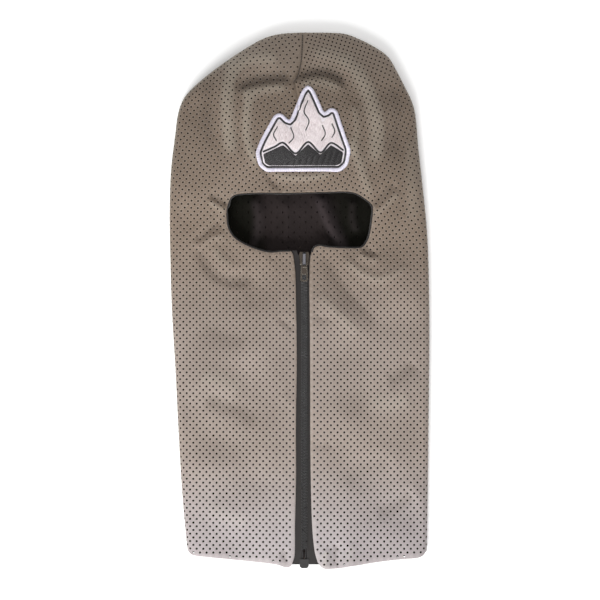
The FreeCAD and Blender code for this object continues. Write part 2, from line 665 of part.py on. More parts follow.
# ---------------------------------------------------------------------------------------- slider
def make_slider():
    """Two wings joined by a post at the mouth, with flanges that leave a slit for each tape."""
    body = zip_body("slider_body", y=SLIDER_Y)
    tail, mouth = "Sizes.slider_tail / 2", "Sizes.slider_mouth / 2"
    inner = "(Sizes.tooth_outer + Sizes.slider_clear)"
    slit = "(Sizes.tape_thick / 2 + Sizes.slider_clear)"
    post = body_sketch(body, "slider_post", "XY_Plane")
    low = "Sizes.slider_length - Sizes.post_length"
    draw_polygon(post, [
        ("0", low), ("Sizes.post_half", f"{low} + 0.35 * Sizes.post_length"),
        ("Sizes.post_half", "Sizes.slider_length - 0.3"), ("-Sizes.post_half", "Sizes.slider_length - 0.3"),
        ("-Sizes.post_half", f"{low} + 0.35 * Sizes.post_length")])
    pad(body, post, f"2 * {WING_IN}", symmetric=True)
    for level, sign in (("upper", 1), ("lower", -1)):
        wing = body_sketch(body, f"{level}_wing", "XY_Plane", lift=f"{sign} * {WING_IN}")
        draw_polygon(wing, [
            (f"-{tail}", "0"), (tail, "0"), (tail, "0.3 * Sizes.slider_length"),
            (mouth, "0.75 * Sizes.slider_length"), (f"{mouth} - 0.8", "Sizes.slider_length"),
            (f"0.8 - {mouth}", "Sizes.slider_length"), (f"-{mouth}", "0.75 * Sizes.slider_length"),
            (f"-{tail}", "0.3 * Sizes.slider_length")])
        pad(body, wing, "Sizes.wing_thick", reverse=sign < 0)
        flanges = body_sketch(body, f"{level}_flanges", "XY_Plane", lift=f"{sign} * {slit}")
        for side in SIDES.values():
            draw_polygon(flanges, [
                (mirrored(side, inner), "0"), (mirrored(side, tail), "0"),
                (mirrored(side, tail), "0.3 * Sizes.slider_length"),
                (mirrored(side, mouth), "0.75 * Sizes.slider_length"),
                (mirrored(side, inner), "0.75 * Sizes.slider_length")])
        pad(body, flanges, f"{WING_IN} - {slit}", reverse=sign < 0)
    doc.recompute()
    window = body_sketch(body, "pawl_window", "XY_Plane", lift=f"{WING_OUT}")
    half = "(Sizes.pawl_half + 2 * Sizes.leaf_thick)"
    draw_rectangle(window, f"-{half}", half, f"Sizes.bridge_back - 2 * {half}", "Sizes.bridge_back")
    pocket(body, window, "1.5 * Sizes.wing_thick")
    top = number(WING_OUT)

    def rim(edge):
        """The outer edges of the two wings' outside faces."""
        ends = [vertex.Point for vertex in edge.Vertexes]
        outside = all(abs(abs(point.z) - top) < 1e-6 for point in ends)
        return outside and any(abs(point.x) > 0.4 * number("Sizes.slider_tail") for point in ends)

    break_edges(body, "Fillet", "wing_edges", "0.35 * Sizes.wing_thick", rim)
    return body


def make_bridge():
    """The arch over the upper wing that holds the pull and covers the lock spring."""
    body = zip_body("slider_bridge", y=SLIDER_Y)
    side_view = body_sketch(body, "bridge_side", "YZ_Plane")
    top = f"({WING_OUT} + Sizes.bridge_high)"
    roof = f"({top} - Sizes.bridge_roof)"
    foot = "(Sizes.bridge_start + Sizes.bridge_foot)"
    draw_polygon(side_view, [
        ("Sizes.bridge_start", WING_OUT), (foot, WING_OUT), (foot, f"{roof} - 0.5"), (f"{foot} + 0.5", roof),
        ("Sizes.bridge_back", roof), ("Sizes.bridge_back", WING_OUT), ("Sizes.bridge_end", WING_OUT),
        ("Sizes.bridge_end", f"{WING_OUT} + 0.4 * Sizes.bridge_high"), ("Sizes.bridge_end - 1.6", top),
        ("Sizes.bridge_start + 1.2", top), ("Sizes.bridge_start", f"{top} - 1.2")])
    pad(body, side_view, "2 * Sizes.bridge_half", symmetric=True)
    crest = number(top)

    def crown_edge(edge):
        """The long edges along both sides of the arch's crest."""
        return all(abs(vertex.Point.z - crest) < 1e-6 for vertex in edge.Vertexes) and edge.Length > 4

    break_edges(body, "Fillet", "bridge_crest", "0.3 * Sizes.bridge_half", crown_edge)
    return body


def make_leaf():
    """The spring leaf that lies on the upper wing, with the pawl that drops between the teeth."""
    body = zip_body("lock_spring", y=SLIDER_Y)
    side_view = body_sketch(body, "leaf_side", "YZ_Plane")
    low = f"({WING_OUT} + 0.05)"
    foot = "(Sizes.bridge_start + Sizes.bridge_foot + 0.2)"
    pawl = "(Sizes.bridge_back - Sizes.pawl_half - 3 * Sizes.leaf_thick)"
    pawl_end = f"{pawl} + 2 * Sizes.leaf_thick"
    tip = "Sizes.tooth_thick / 2 + 0.15"
    back = "Sizes.bridge_back - 0.1"
    high = f"{low} + Sizes.leaf_thick"
    draw_polygon(side_view, [
        (foot, low), (pawl, low), (pawl, tip), (pawl_end, tip), (pawl_end, low), (back, low), (back, high),
        (foot, high)])
    pad(body, side_view, "2 * Sizes.pawl_half", symmetric=True)
    return body


def make_pull():
    """The pull tab: a round pin under the bridge, two arms beside it and a plate with a window."""
    pivot_y = f"({SLIDER_Y} + Sizes.pull_pivot)"
    pivot_z = f"({ZIP_Z} + {WING_OUT} + Sizes.pull_height)"
    body = zip_body("pull_tab", y=pivot_y, z=pivot_z)
    arm_in = "(Sizes.bridge_half + Sizes.arm_clear)"
    arm_out = f"({arm_in} + Sizes.arm_width)"
    half, tip = "Sizes.pull_width / 2", "-Sizes.pull_length"
    plate = body_sketch(body, "pull_plate", "XY_Plane")
    draw_polygon(plate, [
        (f"-{arm_out}", "0"), (f"-{arm_out}", "-Sizes.eye_reach - 1"), (f"-{half}", f"0.6 * {tip}"),
        (f"-{half}", f"{tip} + 1.2"), (f"1.2 - {half}", tip), (f"{half} - 1.2", tip), (half, f"{tip} + 1.2"),
        (half, f"0.6 * {tip}"), (arm_out, "-Sizes.eye_reach - 1"), (arm_out, "0")])
    pad(body, plate, "Sizes.pull_thick", symmetric=True)
    doc.recompute()
    eye = body_sketch(body, "pull_eye", "XY_Plane")
    draw_rectangle(eye, f"-{arm_in}", arm_in, "-Sizes.eye_reach", "Sizes.pull_pin * 2")
    pocket(body, eye, "2 * Sizes.pull_thick", symmetric=True)
    window = body_sketch(body, "pull_window", "XY_Plane")
    low = f"({tip} + Sizes.window_rise)"
    draw_rounded(
        window, "-Sizes.window_wide / 2", "Sizes.window_wide / 2", low, f"{low} + Sizes.window_long",
        "0.6", "0.6")
    pocket(body, window, "2 * Sizes.pull_thick", symmetric=True)
    recess = body_sketch(body, "pull_recess", "XY_Plane", lift="Sizes.pull_thick / 2")
    draw_rounded(
        recess, f"Sizes.rim - {half}", f"{half} - Sizes.rim", f"{low} + Sizes.window_long + Sizes.rim",
        "-Sizes.eye_reach - 2 * Sizes.rim", "0.5", "0.5")
    pocket(body, recess, "Sizes.rim_depth")
    pin = body_sketch(body, "pull_pin_end", "YZ_Plane")
    draw_circle(pin, "0", "0", "Sizes.pull_pin")
    pad(body, pin, f"2 * {arm_out}", symmetric=True)
    return body


node(make_slider(), "slider_body")
node(make_bridge(), "slider_bridge")
node(make_leaf(), "lock_spring")
node(make_pull(), "pull_tab")

# --------------------------------------------------------------------------------- check and write
doc.recompute()
for thing in doc.Objects:
    bad = {"Invalid", "Error"} & set(thing.State)
    assert not bad, f"{thing.Label}: {sorted(bad)}"
for part in NODES:
    shape = part.Shape
    assert not shape.isNull() and shape.isValid() and shape.Volume > 0, part.Label
    shape.exportStep(f"parts/{part.Label}.step")
    box = shape.BoundBox
    print(
        f"{part.Label:24s} solids {len(shape.Solids):3d} volume {shape.Volume:10.1f} mm3 "
        f"x {box.XMin:7.1f} {box.XMax:7.1f} y {box.YMin:7.1f} {box.YMax:7.1f} "
        f"z {box.ZMin:6.2f} {box.ZMax:6.2f}")
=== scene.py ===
"""The look of a zip-front hood balaclava lying flat on its back: perforated outer cloth, mesh lining,
an embroidered patch and a moulded zip.  Lengths are millimetres until a mesh is made in metres."""
import math

import bpy
import numpy as np
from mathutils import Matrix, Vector
from mathutils.geometry import delaunay_2d_cdt


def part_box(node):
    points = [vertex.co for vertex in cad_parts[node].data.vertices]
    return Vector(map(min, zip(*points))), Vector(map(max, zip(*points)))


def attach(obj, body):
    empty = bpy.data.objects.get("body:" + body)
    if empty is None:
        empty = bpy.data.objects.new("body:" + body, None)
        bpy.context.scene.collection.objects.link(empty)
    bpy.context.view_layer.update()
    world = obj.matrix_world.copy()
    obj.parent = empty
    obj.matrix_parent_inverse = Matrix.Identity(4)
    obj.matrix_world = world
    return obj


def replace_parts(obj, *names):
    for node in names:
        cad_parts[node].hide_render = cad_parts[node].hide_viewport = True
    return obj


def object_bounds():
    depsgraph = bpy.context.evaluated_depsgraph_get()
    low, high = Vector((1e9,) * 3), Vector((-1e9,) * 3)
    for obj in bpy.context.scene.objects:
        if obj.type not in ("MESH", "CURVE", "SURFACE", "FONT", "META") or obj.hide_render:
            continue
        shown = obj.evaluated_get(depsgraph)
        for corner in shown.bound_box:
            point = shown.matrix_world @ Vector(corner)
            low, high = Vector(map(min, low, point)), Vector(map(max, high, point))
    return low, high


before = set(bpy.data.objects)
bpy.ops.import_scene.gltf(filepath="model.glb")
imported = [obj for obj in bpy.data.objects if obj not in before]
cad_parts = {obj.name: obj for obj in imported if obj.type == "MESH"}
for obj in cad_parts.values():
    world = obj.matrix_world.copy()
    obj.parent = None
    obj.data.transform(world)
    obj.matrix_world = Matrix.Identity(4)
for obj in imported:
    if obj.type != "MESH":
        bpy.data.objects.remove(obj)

cad_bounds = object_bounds()
MM = 0.001
RANDOM = np.random.default_rng(7)


def box_mm(name):
    """A node's lowest and highest corner, in millimetres."""
    low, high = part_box(name)
    return np.array(low) / MM, np.array(high) / MM


# ------------------------------------------------------------------------- sizes read from the frame
TEETH_LOW, TEETH_HIGH = box_mm("zip_teeth_left")
BOX_LOW, BOX_HIGH = box_mm("retainer_box")
PATCH_LOW, PATCH_HIGH = box_mm("patch_border")
TAPE_LOW, TAPE_HIGH = box_mm("zip_tape_left")
TAPE_FAR = box_mm("zip_tape_right")[1][0]
ZIP_X = (BOX_LOW[0] + BOX_HIGH[0]) / 2
ZIP_Z = (TAPE_LOW[2] + TAPE_HIGH[2]) / 2
FLOOR_Z = cad_bounds[0][2] / MM
PATCH_X = (PATCH_LOW[0] + PATCH_HIGH[0]) / 2
PATCH_Y = (PATCH_LOW[1] + PATCH_HIGH[1]) / 2

# ----------------------------------------------------------------------------- sizes of the cloth
FOLD = 5.5                  # radius of the folded side edges
FOLD_Z = FLOOR_Z + FOLD
SHELL = 1.2                 # thickness of the perforated outer cloth
LINING = 0.8
LINING_INSET = 2.7          # from the outer skin to the lining
PINCHED = 1.35              # the same where the two cloths are sewn together
IN_ROW = 6.37               # spacing of the holes along a row
HOLE = 1.0                  # radius of a hole
HOLE_SIDES = 7
SAG = 2.2                   # how far the front sinks between the zip and the side folds
PIN_ROW = 11.0              # the lining's own pinholes
PIN_PITCH = 4.8
TAPE_RIBS = 28              # ribs across one zip tape


# ------------------------------------------------------------------------------- curves and fields
def smooth(value, low, high):
    """0 below low, 1 above high and an even S between them."""
    t = np.clip((value - low) / (high - low), 0.0, 1.0)
    return t * t * (3 - 2 * t)


def bell(distance, width):
    """1 in the middle, falling away over about width."""
    return np.exp(-((distance / width) ** 2))


def unit(vectors):
    """Each row made one long."""
    return vectors / np.maximum(np.linalg.norm(vectors, axis=-1, keepdims=True), 1e-9)


def looped(line):
    """A run of points with its first one again at the end."""
    return np.vstack([line, line[:1]])


def through(points, step=2.0, closed=False):
    """Points about step apart on a smooth curve through the given ones."""
    points = np.array(points, float)
    if closed:
        ends = np.vstack([points[-1:], points, points[:2]])
    else:
        ends = np.vstack([2 * points[0] - points[1], points, 2 * points[-1] - points[-2]])
    line = []
    for a, b, c, d in zip(ends, ends[1:], ends[2:], ends[3:]):
        ab, bc, cd = (np.linalg.norm(q - p) + 1e-9 for p, q in ((a, b), (b, c), (c, d)))
        leave = (c - a) * bc / (ab + bc)
        arrive = (d - b) * bc / (bc + cd)
        count = max(1, math.ceil(bc / step))
        t = (np.arange(count) / count)[:, None]
        line.append(
            (2 * t**3 - 3 * t**2 + 1) * b + (t**3 - 2 * t**2 + t) * leave
            + (3 * t**2 - 2 * t**3) * c + (t**3 - t**2) * arrive)
    if not closed:
        line.append(points[-1:])
    return np.vstack(line)


def to_line(x, y, line):
    """Distance to a polyline, the nearest point on it, the unit normal to its right there, the side
    (+1 to the right of its direction) and how far along it that is, from 0 to 1."""
    start, run = line[:-1], np.diff(line, axis=0)
    length = np.hypot(run[:, 0], run[:, 1])
    before = np.concatenate([[0.0], np.cumsum(length)])
    distance, near_x, near_y, right_x, right_y, side, along = (np.empty(len(x)) for _ in range(7))
    chunk = max(1, 3000000 // len(run))
    for first in range(0, len(x), chunk):
        part = slice(first, first + chunk)
        px = x[part, None] - start[:, 0]
        py = y[part, None] - start[:, 1]
        t = np.clip((px * run[:, 0] + py * run[:, 1]) / length**2, 0.0, 1.0)
        px -= t * run[:, 0]
        py -= t * run[:, 1]
        squared = px * px + py * py
        k = squared.argmin(axis=1)
        row = np.arange(len(k))
        distance[part] = np.sqrt(squared[row, k])
        near_x[part] = x[part] - px[row, k]
        near_y[part] = y[part] - py[row, k]
        right_x[part] = run[k, 1] / length[k]
        right_y[part] = -run[k, 0] / length[k]
        side[part] = np.where(px[row, k] * right_x[part] + py[row, k] * right_y[part] >= 0, 1.0, -1.0)
        along[part] = (before[k] + t[row, k] * length[k]) / before[-1]
    return distance, near_x, near_y, right_x, right_y, side, along


# -------------------------------------------------------------------------------- the hood's outline
# From below the hem's left corner, up the left side, over the crown and down the right side.
OUTLINE = through([
    (-104, -320), (-107.5, -245), (-109.3, -230), (-113.4, -182), (-116.7, -125), (-119.6, -67),
    (-123.0, -10), (-124.7, 47), (-125.2, 85), (-123.9, 124), (-119.6, 160), (-116.9, 180),
    (-111.5, 194), (-102, 204.5), (-84.0, 219.5), (-57.5, 238), (-33, 252), (-14.6, 256.0), (7, 256.3),
    (30, 256.4), (44, 255.6), (50, 253.4), (65, 246.6), (80, 237.6), (86.5, 231.5), (92.5, 220.5),
    (100.4, 205), (109.6, 184.5), (113.6, 146),
    (118.2, 105), (122.0, 66), (123.8, 19), (124.3, -39), (123.4, -125), (122.8, -182), (121.8, -240),
    (119, -320)], step=4.0)
for _ in range(3):
    OUTLINE[1:-1] = (OUTLINE[:-2] + 2 * OUTLINE[1:-1] + OUTLINE[2:]) / 4
TURN = int(OUTLINE[:, 1].argmax())
LOFT = through([
    (-400, 20), (46, 20), (66, 22), (90, 28.5), (115, 34.5), (141, 37.4), (170, 37.8), (187, 36.8),
    (210, 32.5), (229, 26.5), (244, 19.5), (258, 12.5)], step=3.0)
EYE_EDGE = through([
    (-9.2, 46.6), (-19.6, 46.3), (-28.4, 45.5), (-40.4, 48.4), (-52.5, 53.3), (-62.6, 59.8), (-68.0, 68.5),
    (-69.6, 79.0), (-69.0, 88.6), (-66.0, 96.0), (-60.5, 99.8), (-38.4, 101.2), (-15.5, 100.8),
    (21.7, 101.7), (49.4, 101.7), (61.5, 95.8), (68.4, 89.4), (68.4, 78), (66.0, 62.5), (63.6, 56.0),
    (58.6, 50.6), (49.4, 49.7), (27.5, 50.6), (17.2, 51.8), (13.0, 49.6), (11.6, 45.6)], step=2.0)
SLOT_LEFT = through([
    (-7.4, -249.8), (-5.6, -243), (-5.3, -215), (-4.3, -170), (-4.4, -120), (-3.6, -60), (-4.2, -10),
    (-4.9, 25), (-6.3, 38), (-7.1, 43.6), (-9.2, 46.6)], step=3.0)
SLOT_RIGHT = through([
    (11.6, 45.6), (10.0, 38), (9.4, 20), (9.9, -20), (10.2, -80), (10.4, -140), (11.2, -190), (12.4, -220),
    (14.6, -240), (17.2, -249.6)], step=3.0)
HEM_LEFT = through([
    (-108.3, -240.6), (-103, -243.6), (-86, -245.4), (-67, -247.2), (-38, -249.8), (-22, -251.8),
    (-12.4, -254.4), (-9.3, -253.0), (-7.4, -249.8)], step=3.0)
HEM_RIGHT = through([
    (17.2, -249.6), (20.4, -254.0), (24.2, -256.2), (31, -255.6), (43, -254.6), (76, -249.8), (99, -247.2),
    (115, -245.6), (122.2, -240.6)], step=3.0)
CROWN_SEAM = through([(2.6, 256.6), (2.2, 242), (1.4, 228.7), (-0.4, 219), (-3.1, 209.8), (-5.6, 206.6),
                      (-4.4, 202), (-2, 190), (0, 170)], step=2.0)
BACK_SEAM_X = 0.0
LINING_SEAM_X = -3.0
SEAM_FOOT = 168             # the crown seam starts here, under the patch

RELIEF = 1.55               # how deep all the folds are taken together

# The soft folds of the outer cloth: height, reach to the right and to the left of the line's
# direction, and the points that the fold runs through.
CREASES = [
    # over the patch, where the crown sags onto it
    (-3.0, 3.0, 9.0, [(-64, 199), (-48, 204), (-30, 207.5), (-9, 208.6), (-3, 208.4)]),
    (-2.8, 3.0, 8.0, [(-7, 207), (0, 210.4), (9, 213.2), (20, 213.8), (31, 211), (47, 202)]),
    (1.5, 8.0, 3.4, [(-60, 194), (-45, 199), (-26, 202.6), (-8, 203.6)]),
    (1.4, 8.0, 3.4, [(-4, 203.6), (2, 205.6), (10, 208), (21, 208.2), (31, 205.4), (43, 197.5)]),
    (1.4, 9.0, 9.0, [(-76, 222), (-45, 230), (-14, 229)]),
    (1.2, 9.0, 9.0, [(8, 232), (28, 233), (52, 224)]),
    # the raised ring of cloth round the patch
    (1.7, 4.0, 6.5, [(-43, 204), (-49, 190), (-51.5, 168), (-49, 146), (-41, 131), (-31, 122)]),
    (1.4, 4.0, 5.0, [(-38, 128), (-28, 119.5), (-12, 116.2), (8, 116.0), (26, 118.5), (37, 125)]),
    (1.0, 4.0, 5.0, [(49, 190), (53, 172), (53, 152), (47, 134)]),
    (-1.5, 3.2, 5.0, [(-40, 137), (-32, 121), (-21, 106), (-17, 101)]),
    # long ridges down both sides of the head
    (1.8, 9.0, 8.0, [(-55, 232), (-64, 214), (-69, 190), (-68, 158), (-62, 128)]),
    (-1.6, 9.0, 9.0, [(-82, 222), (-88, 196), (-87, 165), (-80, 140)]),
    (1.8, 10.0, 8.0, [(37, 236), (58, 212), (71, 180), (74, 152), (68, 118)]),
    (-1.4, 8.0, 9.0, [(86, 214), (93, 186), (93, 158), (87, 132)]),
    (1.3, 6.0, 6.0, [(43, 160), (56, 130), (69, 92)]),
    # pulls from the ends of the eye opening
    (-1.7, 3.0, 4.5, [(-88, 101), (-77, 95.5), (-67, 88)]),
    (1.2, 3.0, 4.0, [(-89, 95), (-79, 89), (-70, 82)]),
    (-1.6, 6.0, 3.4, [(-102, 55), (-88, 66), (-73, 76)]),
    (1.1, 4.5, 4.5, [(-104, 47), (-88, 58), (-68, 62)]),
    (-1.6, 3.2, 4.5, [(92, 113), (80, 101), (69, 88)]),
    (1.2, 4.0, 4.0, [(96, 104), (83, 92), (70, 80)]),
    (-1.5, 3.0, 4.0, [(60, 51), (65, 46.5), (74, 43)]),
    (1.0, 4.0, 4.0, [(53, 44), (64, 40), (78, 38)]),
    (-1.4, 5.0, 7.0, [(-102, 64), (-98, 50), (-91, 36), (-80, 23), (-60, 17), (-38, 22)]),
    (1.0, 6.0, 6.0, [(-84, 56), (-78, 42), (-66, 33), (-48, 32)]),
    (-1.1, 7.0, 7.0, [(12, 48), (26, 36), (36, 20), (52, 0), (82, -32)]),
    (1.1, 5.0, 5.0, [(38, 46), (52, 30), (76, 20), (108, 34)]),
    (1.0, 8.0, 7.0, [(14, 10), (28, -6), (44, -20), (62, -38)]),
    (-0.9, 2.4, 3.0, [(-30, 46.5), (-27, 42), (-26, 37)]),
    # the cheeks and the right edge
    (-0.8, 12.0, 12.0, [(-62, 44), (-52, 20), (-44, -14)]),
    (1.0, 9.0, 9.0, [(100, 172), (106, 130), (110, 60)]),
    # small pulls along the zip
    (-0.9, 3.0, 5.0, [(-23, -18), (-12, -23), (-5, -30)]),
    (-0.8, 4.0, 5.0, [(11, -14), (22, -18), (34, -17)]),
    (-0.8, 4.0, 6.0, [(11, -138), (21, -140), (33, -137)]),
    (0.6, 5.0, 6.0, [(-20, -92), (-12, -96), (-5, -104)]),
    # slack in the long lower part
    (-1.5, 12.0, 10.0, [(-98, -92), (-78, -98), (-54, -108), (-36, -122)]),
    (1.2, 12.0, 12.0, [(-100, -70), (-76, -78), (-52, -90)]),
    (-1.4, 9.0, 9.0, [(112, -58), (100, -70), (82, -78)]),
    (1.1, 12.0, 12.0, [(110, -92), (88, -98), (60, -96)]),
    (-1.3, 9.0, 9.0, [(112, -184), (94, -196), (70, -204)]),
    (1.0, 10.0, 10.0, [(-92, -196), (-70, -206), (-44, -212)]),
    (-0.9, 10.0, 10.0, [(40, -176), (64, -160), (92, -156)]),
    (-0.9, 11.0, 9.0, [(-96, -20), (-74, -34), (-46, -40)]),
    # ripples of the hem beside the zip
    (-1.4, 3.0, 3.4, [(-14, -256), (-14.6, -246), (-16, -236)]),
    (1.3, 3.4, 3.4, [(24, -258), (24, -248), (25, -236)]),
    (-1.3, 3.6, 3.6, [(33, -257), (34, -244), (36, -230)]),
    (0.9, 5.0, 5.0, [(47, -256), (48, -244), (50, -230)]),
]
CREASE_LINES = [(*crease[:3], through(crease[3], step=4.0)) for crease in CREASES]
BACK_CREASES = [
    (1.6, 5.0, 7.0, through([(-90, 150), (-40, 128), (20, 120), (80, 140)], 4.0)),
    (1.4, 6.0, 6.0, through([(-95, 40), (-50, 22), (-12, 20)], 4.0)),
    (1.3, 5.0, 8.0, through([(14, -30), (60, -44), (104, -38)], 4.0)),
    (1.2, 6.0, 8.0, through([(-100, -110), (-50, -128), (-8, -124)], 4.0)),
    (1.4, 6.0, 7.0, through([(10, -170), (56, -186), (104, -176)], 4.0)),
    (1.2, 7.0, 7.0, through([(-70, 215), (-30, 190), (10, 196), (60, 212)], 4.0)),
]
LINING_FOLDS = [
    (5.5, 5.0, 9.0, through([(17, 108), (20, 92), (28, 72), (37, 54), (42, 38)], 3.0)),
    (3.0, 7.0, 7.0, through([(-48, 104), (-40, 84), (-42, 60), (-52, 42)], 3.0)),
    (2.4, 6.0, 6.0, through([(52, 100), (50, 80), (56, 60)], 3.0)),
    (1.6, 5.0, 6.0, through([(-18, 100), (-12, 78), (-16, 52)], 3.0)),
]


def crease_height(x, y, lines):
    """The sum of a set of soft folds; each fades at its two ends."""
    total = np.zeros(len(x))
    for height, right, left, line in lines:
        reach = 3 * max(right, left)
        low, high = line.min(axis=0) - reach, line.max(axis=0) + reach
        close = np.flatnonzero((x > low[0]) & (x < high[0]) & (y > low[1]) & (y < high[1]))
        if len(close) == 0:
            continue
        distance, _, _, _, _, side, along = to_line(x[close], y[close], line)
        width = np.where(side > 0, right, left)
        fade = smooth(along, 0.0, 0.22) * smooth(1 - along, 0.0, 0.22)
        total[close] += RELIEF * height * bell(distance, width) * fade
    return total


# Length, heading and phase of each slow wave.
WAVES = [
    (RANDOM.uniform(34, 95), RANDOM.uniform(0, math.pi), RANDOM.uniform(0, 2 * math.pi))
    for _ in range(12)]


def undulation(x, y):
    """The slack of the cloth: slow waves of many directions."""
    total = np.zeros(len(x))
    for length, heading, phase in WAVES:
        across = x * math.cos(heading) + y * math.sin(heading)
        total += np.sin(2 * math.pi * across / length + phase) * length / 95
    return 0.62 * total


def puff(x, y):
    """How far the stuffed-out front stands above its own side folds."""
    left, right = OUTLINE[:TURN + 1], OUTLINE[TURN:][::-1]
    x_left = np.interp(y, left[:, 1], left[:, 0])
    x_right = np.interp(y, right[:, 1], right[:, 0])
    off = np.clip(np.abs(2 * x - x_left - x_right) / np.maximum(x_right - x_left, 1e-6), 0, 1)
    loft = np.interp(y, LOFT[:, 0], LOFT[:, 1])
    halfway = bell(off - 0.52, 0.24) * smooth(-y, -150, -20)
    return (loft - 2 * FOLD) * (1 - off**2.4) - SAG * halfway


def inside_of_outline(x, y):
    """Signed distance inside the outline, the nearest outline point and the inward direction."""
    distance, near_x, near_y, right_x, right_y, side, _ = to_line(x, y, OUTLINE)
    depth = distance * side
    far = distance > 1e-3
    safe = np.where(far, depth, 1.0)
    inward_x = np.where(far, (x - near_x) / safe, right_x)
    inward_y = np.where(far, (y - near_y) / safe, right_y)
    return depth, near_x, near_y, inward_x, inward_y


def front_surface(flat):
    """Where the outer skin of the flat front lies.  Beyond the outline it wraps round the side fold."""
    u, v = flat[:, 0], flat[:, 1]
    depth, near_x, near_y, inward_x, inward_y = inside_of_outline(u, v)
    turn = np.clip((FOLD - depth) / FOLD, 0.0, math.pi)
    reach = np.where(depth > FOLD, depth, FOLD - FOLD * np.sin(turn))
    under = np.maximum(FOLD - depth - math.pi * FOLD, 0.0)
    reach = reach + under
    x = near_x + inward_x * reach
    y = near_y + inward_y * reach
    z = FOLD_Z + FOLD * np.cos(turn)
    upper = turn < math.pi / 2
    calm = smooth(np.abs(x - ZIP_X), 13, 42)
    calm = np.where(y > 100, 1.0, np.where(y > 46, np.maximum(calm, smooth(y, 46, 100)), calm))
    lift = puff(x, y) + crease_height(x, y, CREASE_LINES) * smooth(reach, 0, 10)
    lift = lift + undulation(x, y) * calm * smooth(reach, 0, 16)
    seam, *_ = to_line(x, y, CROWN_SEAM)
    sewn = y > SEAM_FOOT
    lift = lift - 1.3 * bell(seam, 1.1) * sewn + 0.8 * bell(seam, 4.5) * sewn
    return np.column_stack([x, y, z + np.where(upper, lift, 0.0)])


def back_surface(flat):
    """The outer skin of the back: pressed flat on the table, with a few shallow folds."""
    x, y = flat[:, 0], flat[:, 1]
    depth, *_ = inside_of_outline(x, y)
    rise = np.maximum(crease_height(x, y, BACK_CREASES), 0) * smooth(depth, 7, 16)
    seam = np.abs(x - BACK_SEAM_X)
    rise = rise + 0.7 * bell(seam, 1.0)
    return np.column_stack([x, y, FLOOR_Z + rise])


def lining_back_surface(flat):
    """The upper face of the lining's back, as seen through the eye opening."""
    x, y = flat[:, 0], flat[:, 1]
    depth, *_ = inside_of_outline(x, y)
    rise = np.maximum(crease_height(x, y, LINING_FOLDS) + crease_height(x, y, BACK_CREASES), 0)
    slack = 0.5 * np.maximum(undulation(x * 1.6, y * 1.6), 0) * smooth(depth, 8, 30)
    rise = rise * smooth(depth, 8, 20) + slack
    seam = np.abs(x - LINING_SEAM_X)
    rise = rise - 0.25 * bell(seam, 0.8) + 0.5 * bell(seam, 2.4)
    return np.column_stack([x, y, FLOOR_Z + LINING_INSET + LINING + 0.3 + rise])


def normals_of(surface, flat, step=1.0):
    """Unit normals of a mapped surface, by differences."""
    across = surface(flat + [step, 0]) - surface(flat - [step, 0])
    along = surface(flat + [0, step]) - surface(flat - [0, step])
    return unit(np.cross(across, along))


# ------------------------------------------------------------------------------ the pattern of holes
ROWS_V = np.linspace(-320, 330, 651)
ROW_STEP = np.interp(ROWS_V, [-250, -120, 20, 120], [3.58, 3.40, 3.08, 3.22])
ROWS_N = np.concatenate([[0.0], np.cumsum(1 / ROW_STEP[:-1])])
LEFT_RISE = smooth(ROWS_V, 20, 170) * (-0.12 + 0.22 * smooth(ROWS_V, 190, 245))
RIGHT_RISE = smooth(ROWS_V, 20, 170) * (0.38 + 0.16 * smooth(ROWS_V, 190, 245))
LEFT_SHIFT = np.cumsum(LEFT_RISE)
RIGHT_SHIFT = np.cumsum(RIGHT_RISE)
RIGHT_SHIFT += np.interp(116, ROWS_V, LEFT_SHIFT - RIGHT_SHIFT)


def slant(u, v):
    """How far the rows of holes are sheared at a place: rise of a row, and shift along it."""
    seam_x = np.interp(v, CROWN_SEAM[::-1, 1], CROWN_SEAM[::-1, 0])
    blend = np.interp(v, [46, 60, 128, 192], [0.4, 60, 60, 0.4])
    right = smooth(u, seam_x - blend, seam_x + blend)
    left_part, right_part = (np.interp(v, ROWS_V, rises) for rises in (LEFT_RISE, RIGHT_RISE))
    rise = left_part * (u + 55) * (1 - right) + right_part * (u - 55) * right
    left_part, right_part = (np.interp(v, ROWS_V, shifts) for shifts in (LEFT_SHIFT, RIGHT_SHIFT))
    return rise, left_part * (1 - right) + right_part * right


def pattern_of(flat):
    """Pattern coordinates of a place: its hole number along a row and its row number."""
    rise, shift = slant(flat[:, 0], flat[:, 1])
    row = np.interp(flat[:, 1] - rise, ROWS_V, ROWS_N)
    return np.column_stack([(flat[:, 0] + shift) / IN_ROW, row])


def hole_centres():
    """The flat place of every hole, found by repeated correction from its pattern coordinates."""
    columns, rows = np.meshgrid(np.arange(-48, 60), np.arange(0, int(ROWS_N[-1])))
    along = columns + 0.5 * (rows % 2)
    along, rows = along.ravel().astype(float), rows.ravel().astype(float)
    straight_u, straight_v = along * IN_ROW, np.interp(rows, ROWS_N, ROWS_V)
    u, v = straight_u.copy(), straight_v.copy()
    for _ in range(40):
        rise, shift = slant(u, v)
        u = 0.5 * u + 0.5 * (straight_u - shift)
        v = 0.5 * v + 0.5 * (straight_v + rise)
    rise, shift = slant(u, v)
    settled = (np.abs(u - straight_u + shift) < 0.2) & (np.abs(v - straight_v - rise) < 0.2)
    return np.column_stack([u, v])[settled]


def in_polygon(points, polygon):
    """Which points lie inside a closed polygon."""
    inside = np.zeros(len(points), bool)
    x, y = points[:, 0], points[:, 1]
    for (xa, ya), (xb, yb) in zip(polygon, np.roll(polygon, -1, axis=0)):
        crosses = (ya > y) != (yb > y)
        if crosses.any():
            at = xa + (y - ya) * (xb - xa) / (yb - ya if yb != ya else 1e-9)
            inside ^= crosses & (x < at)
    return inside


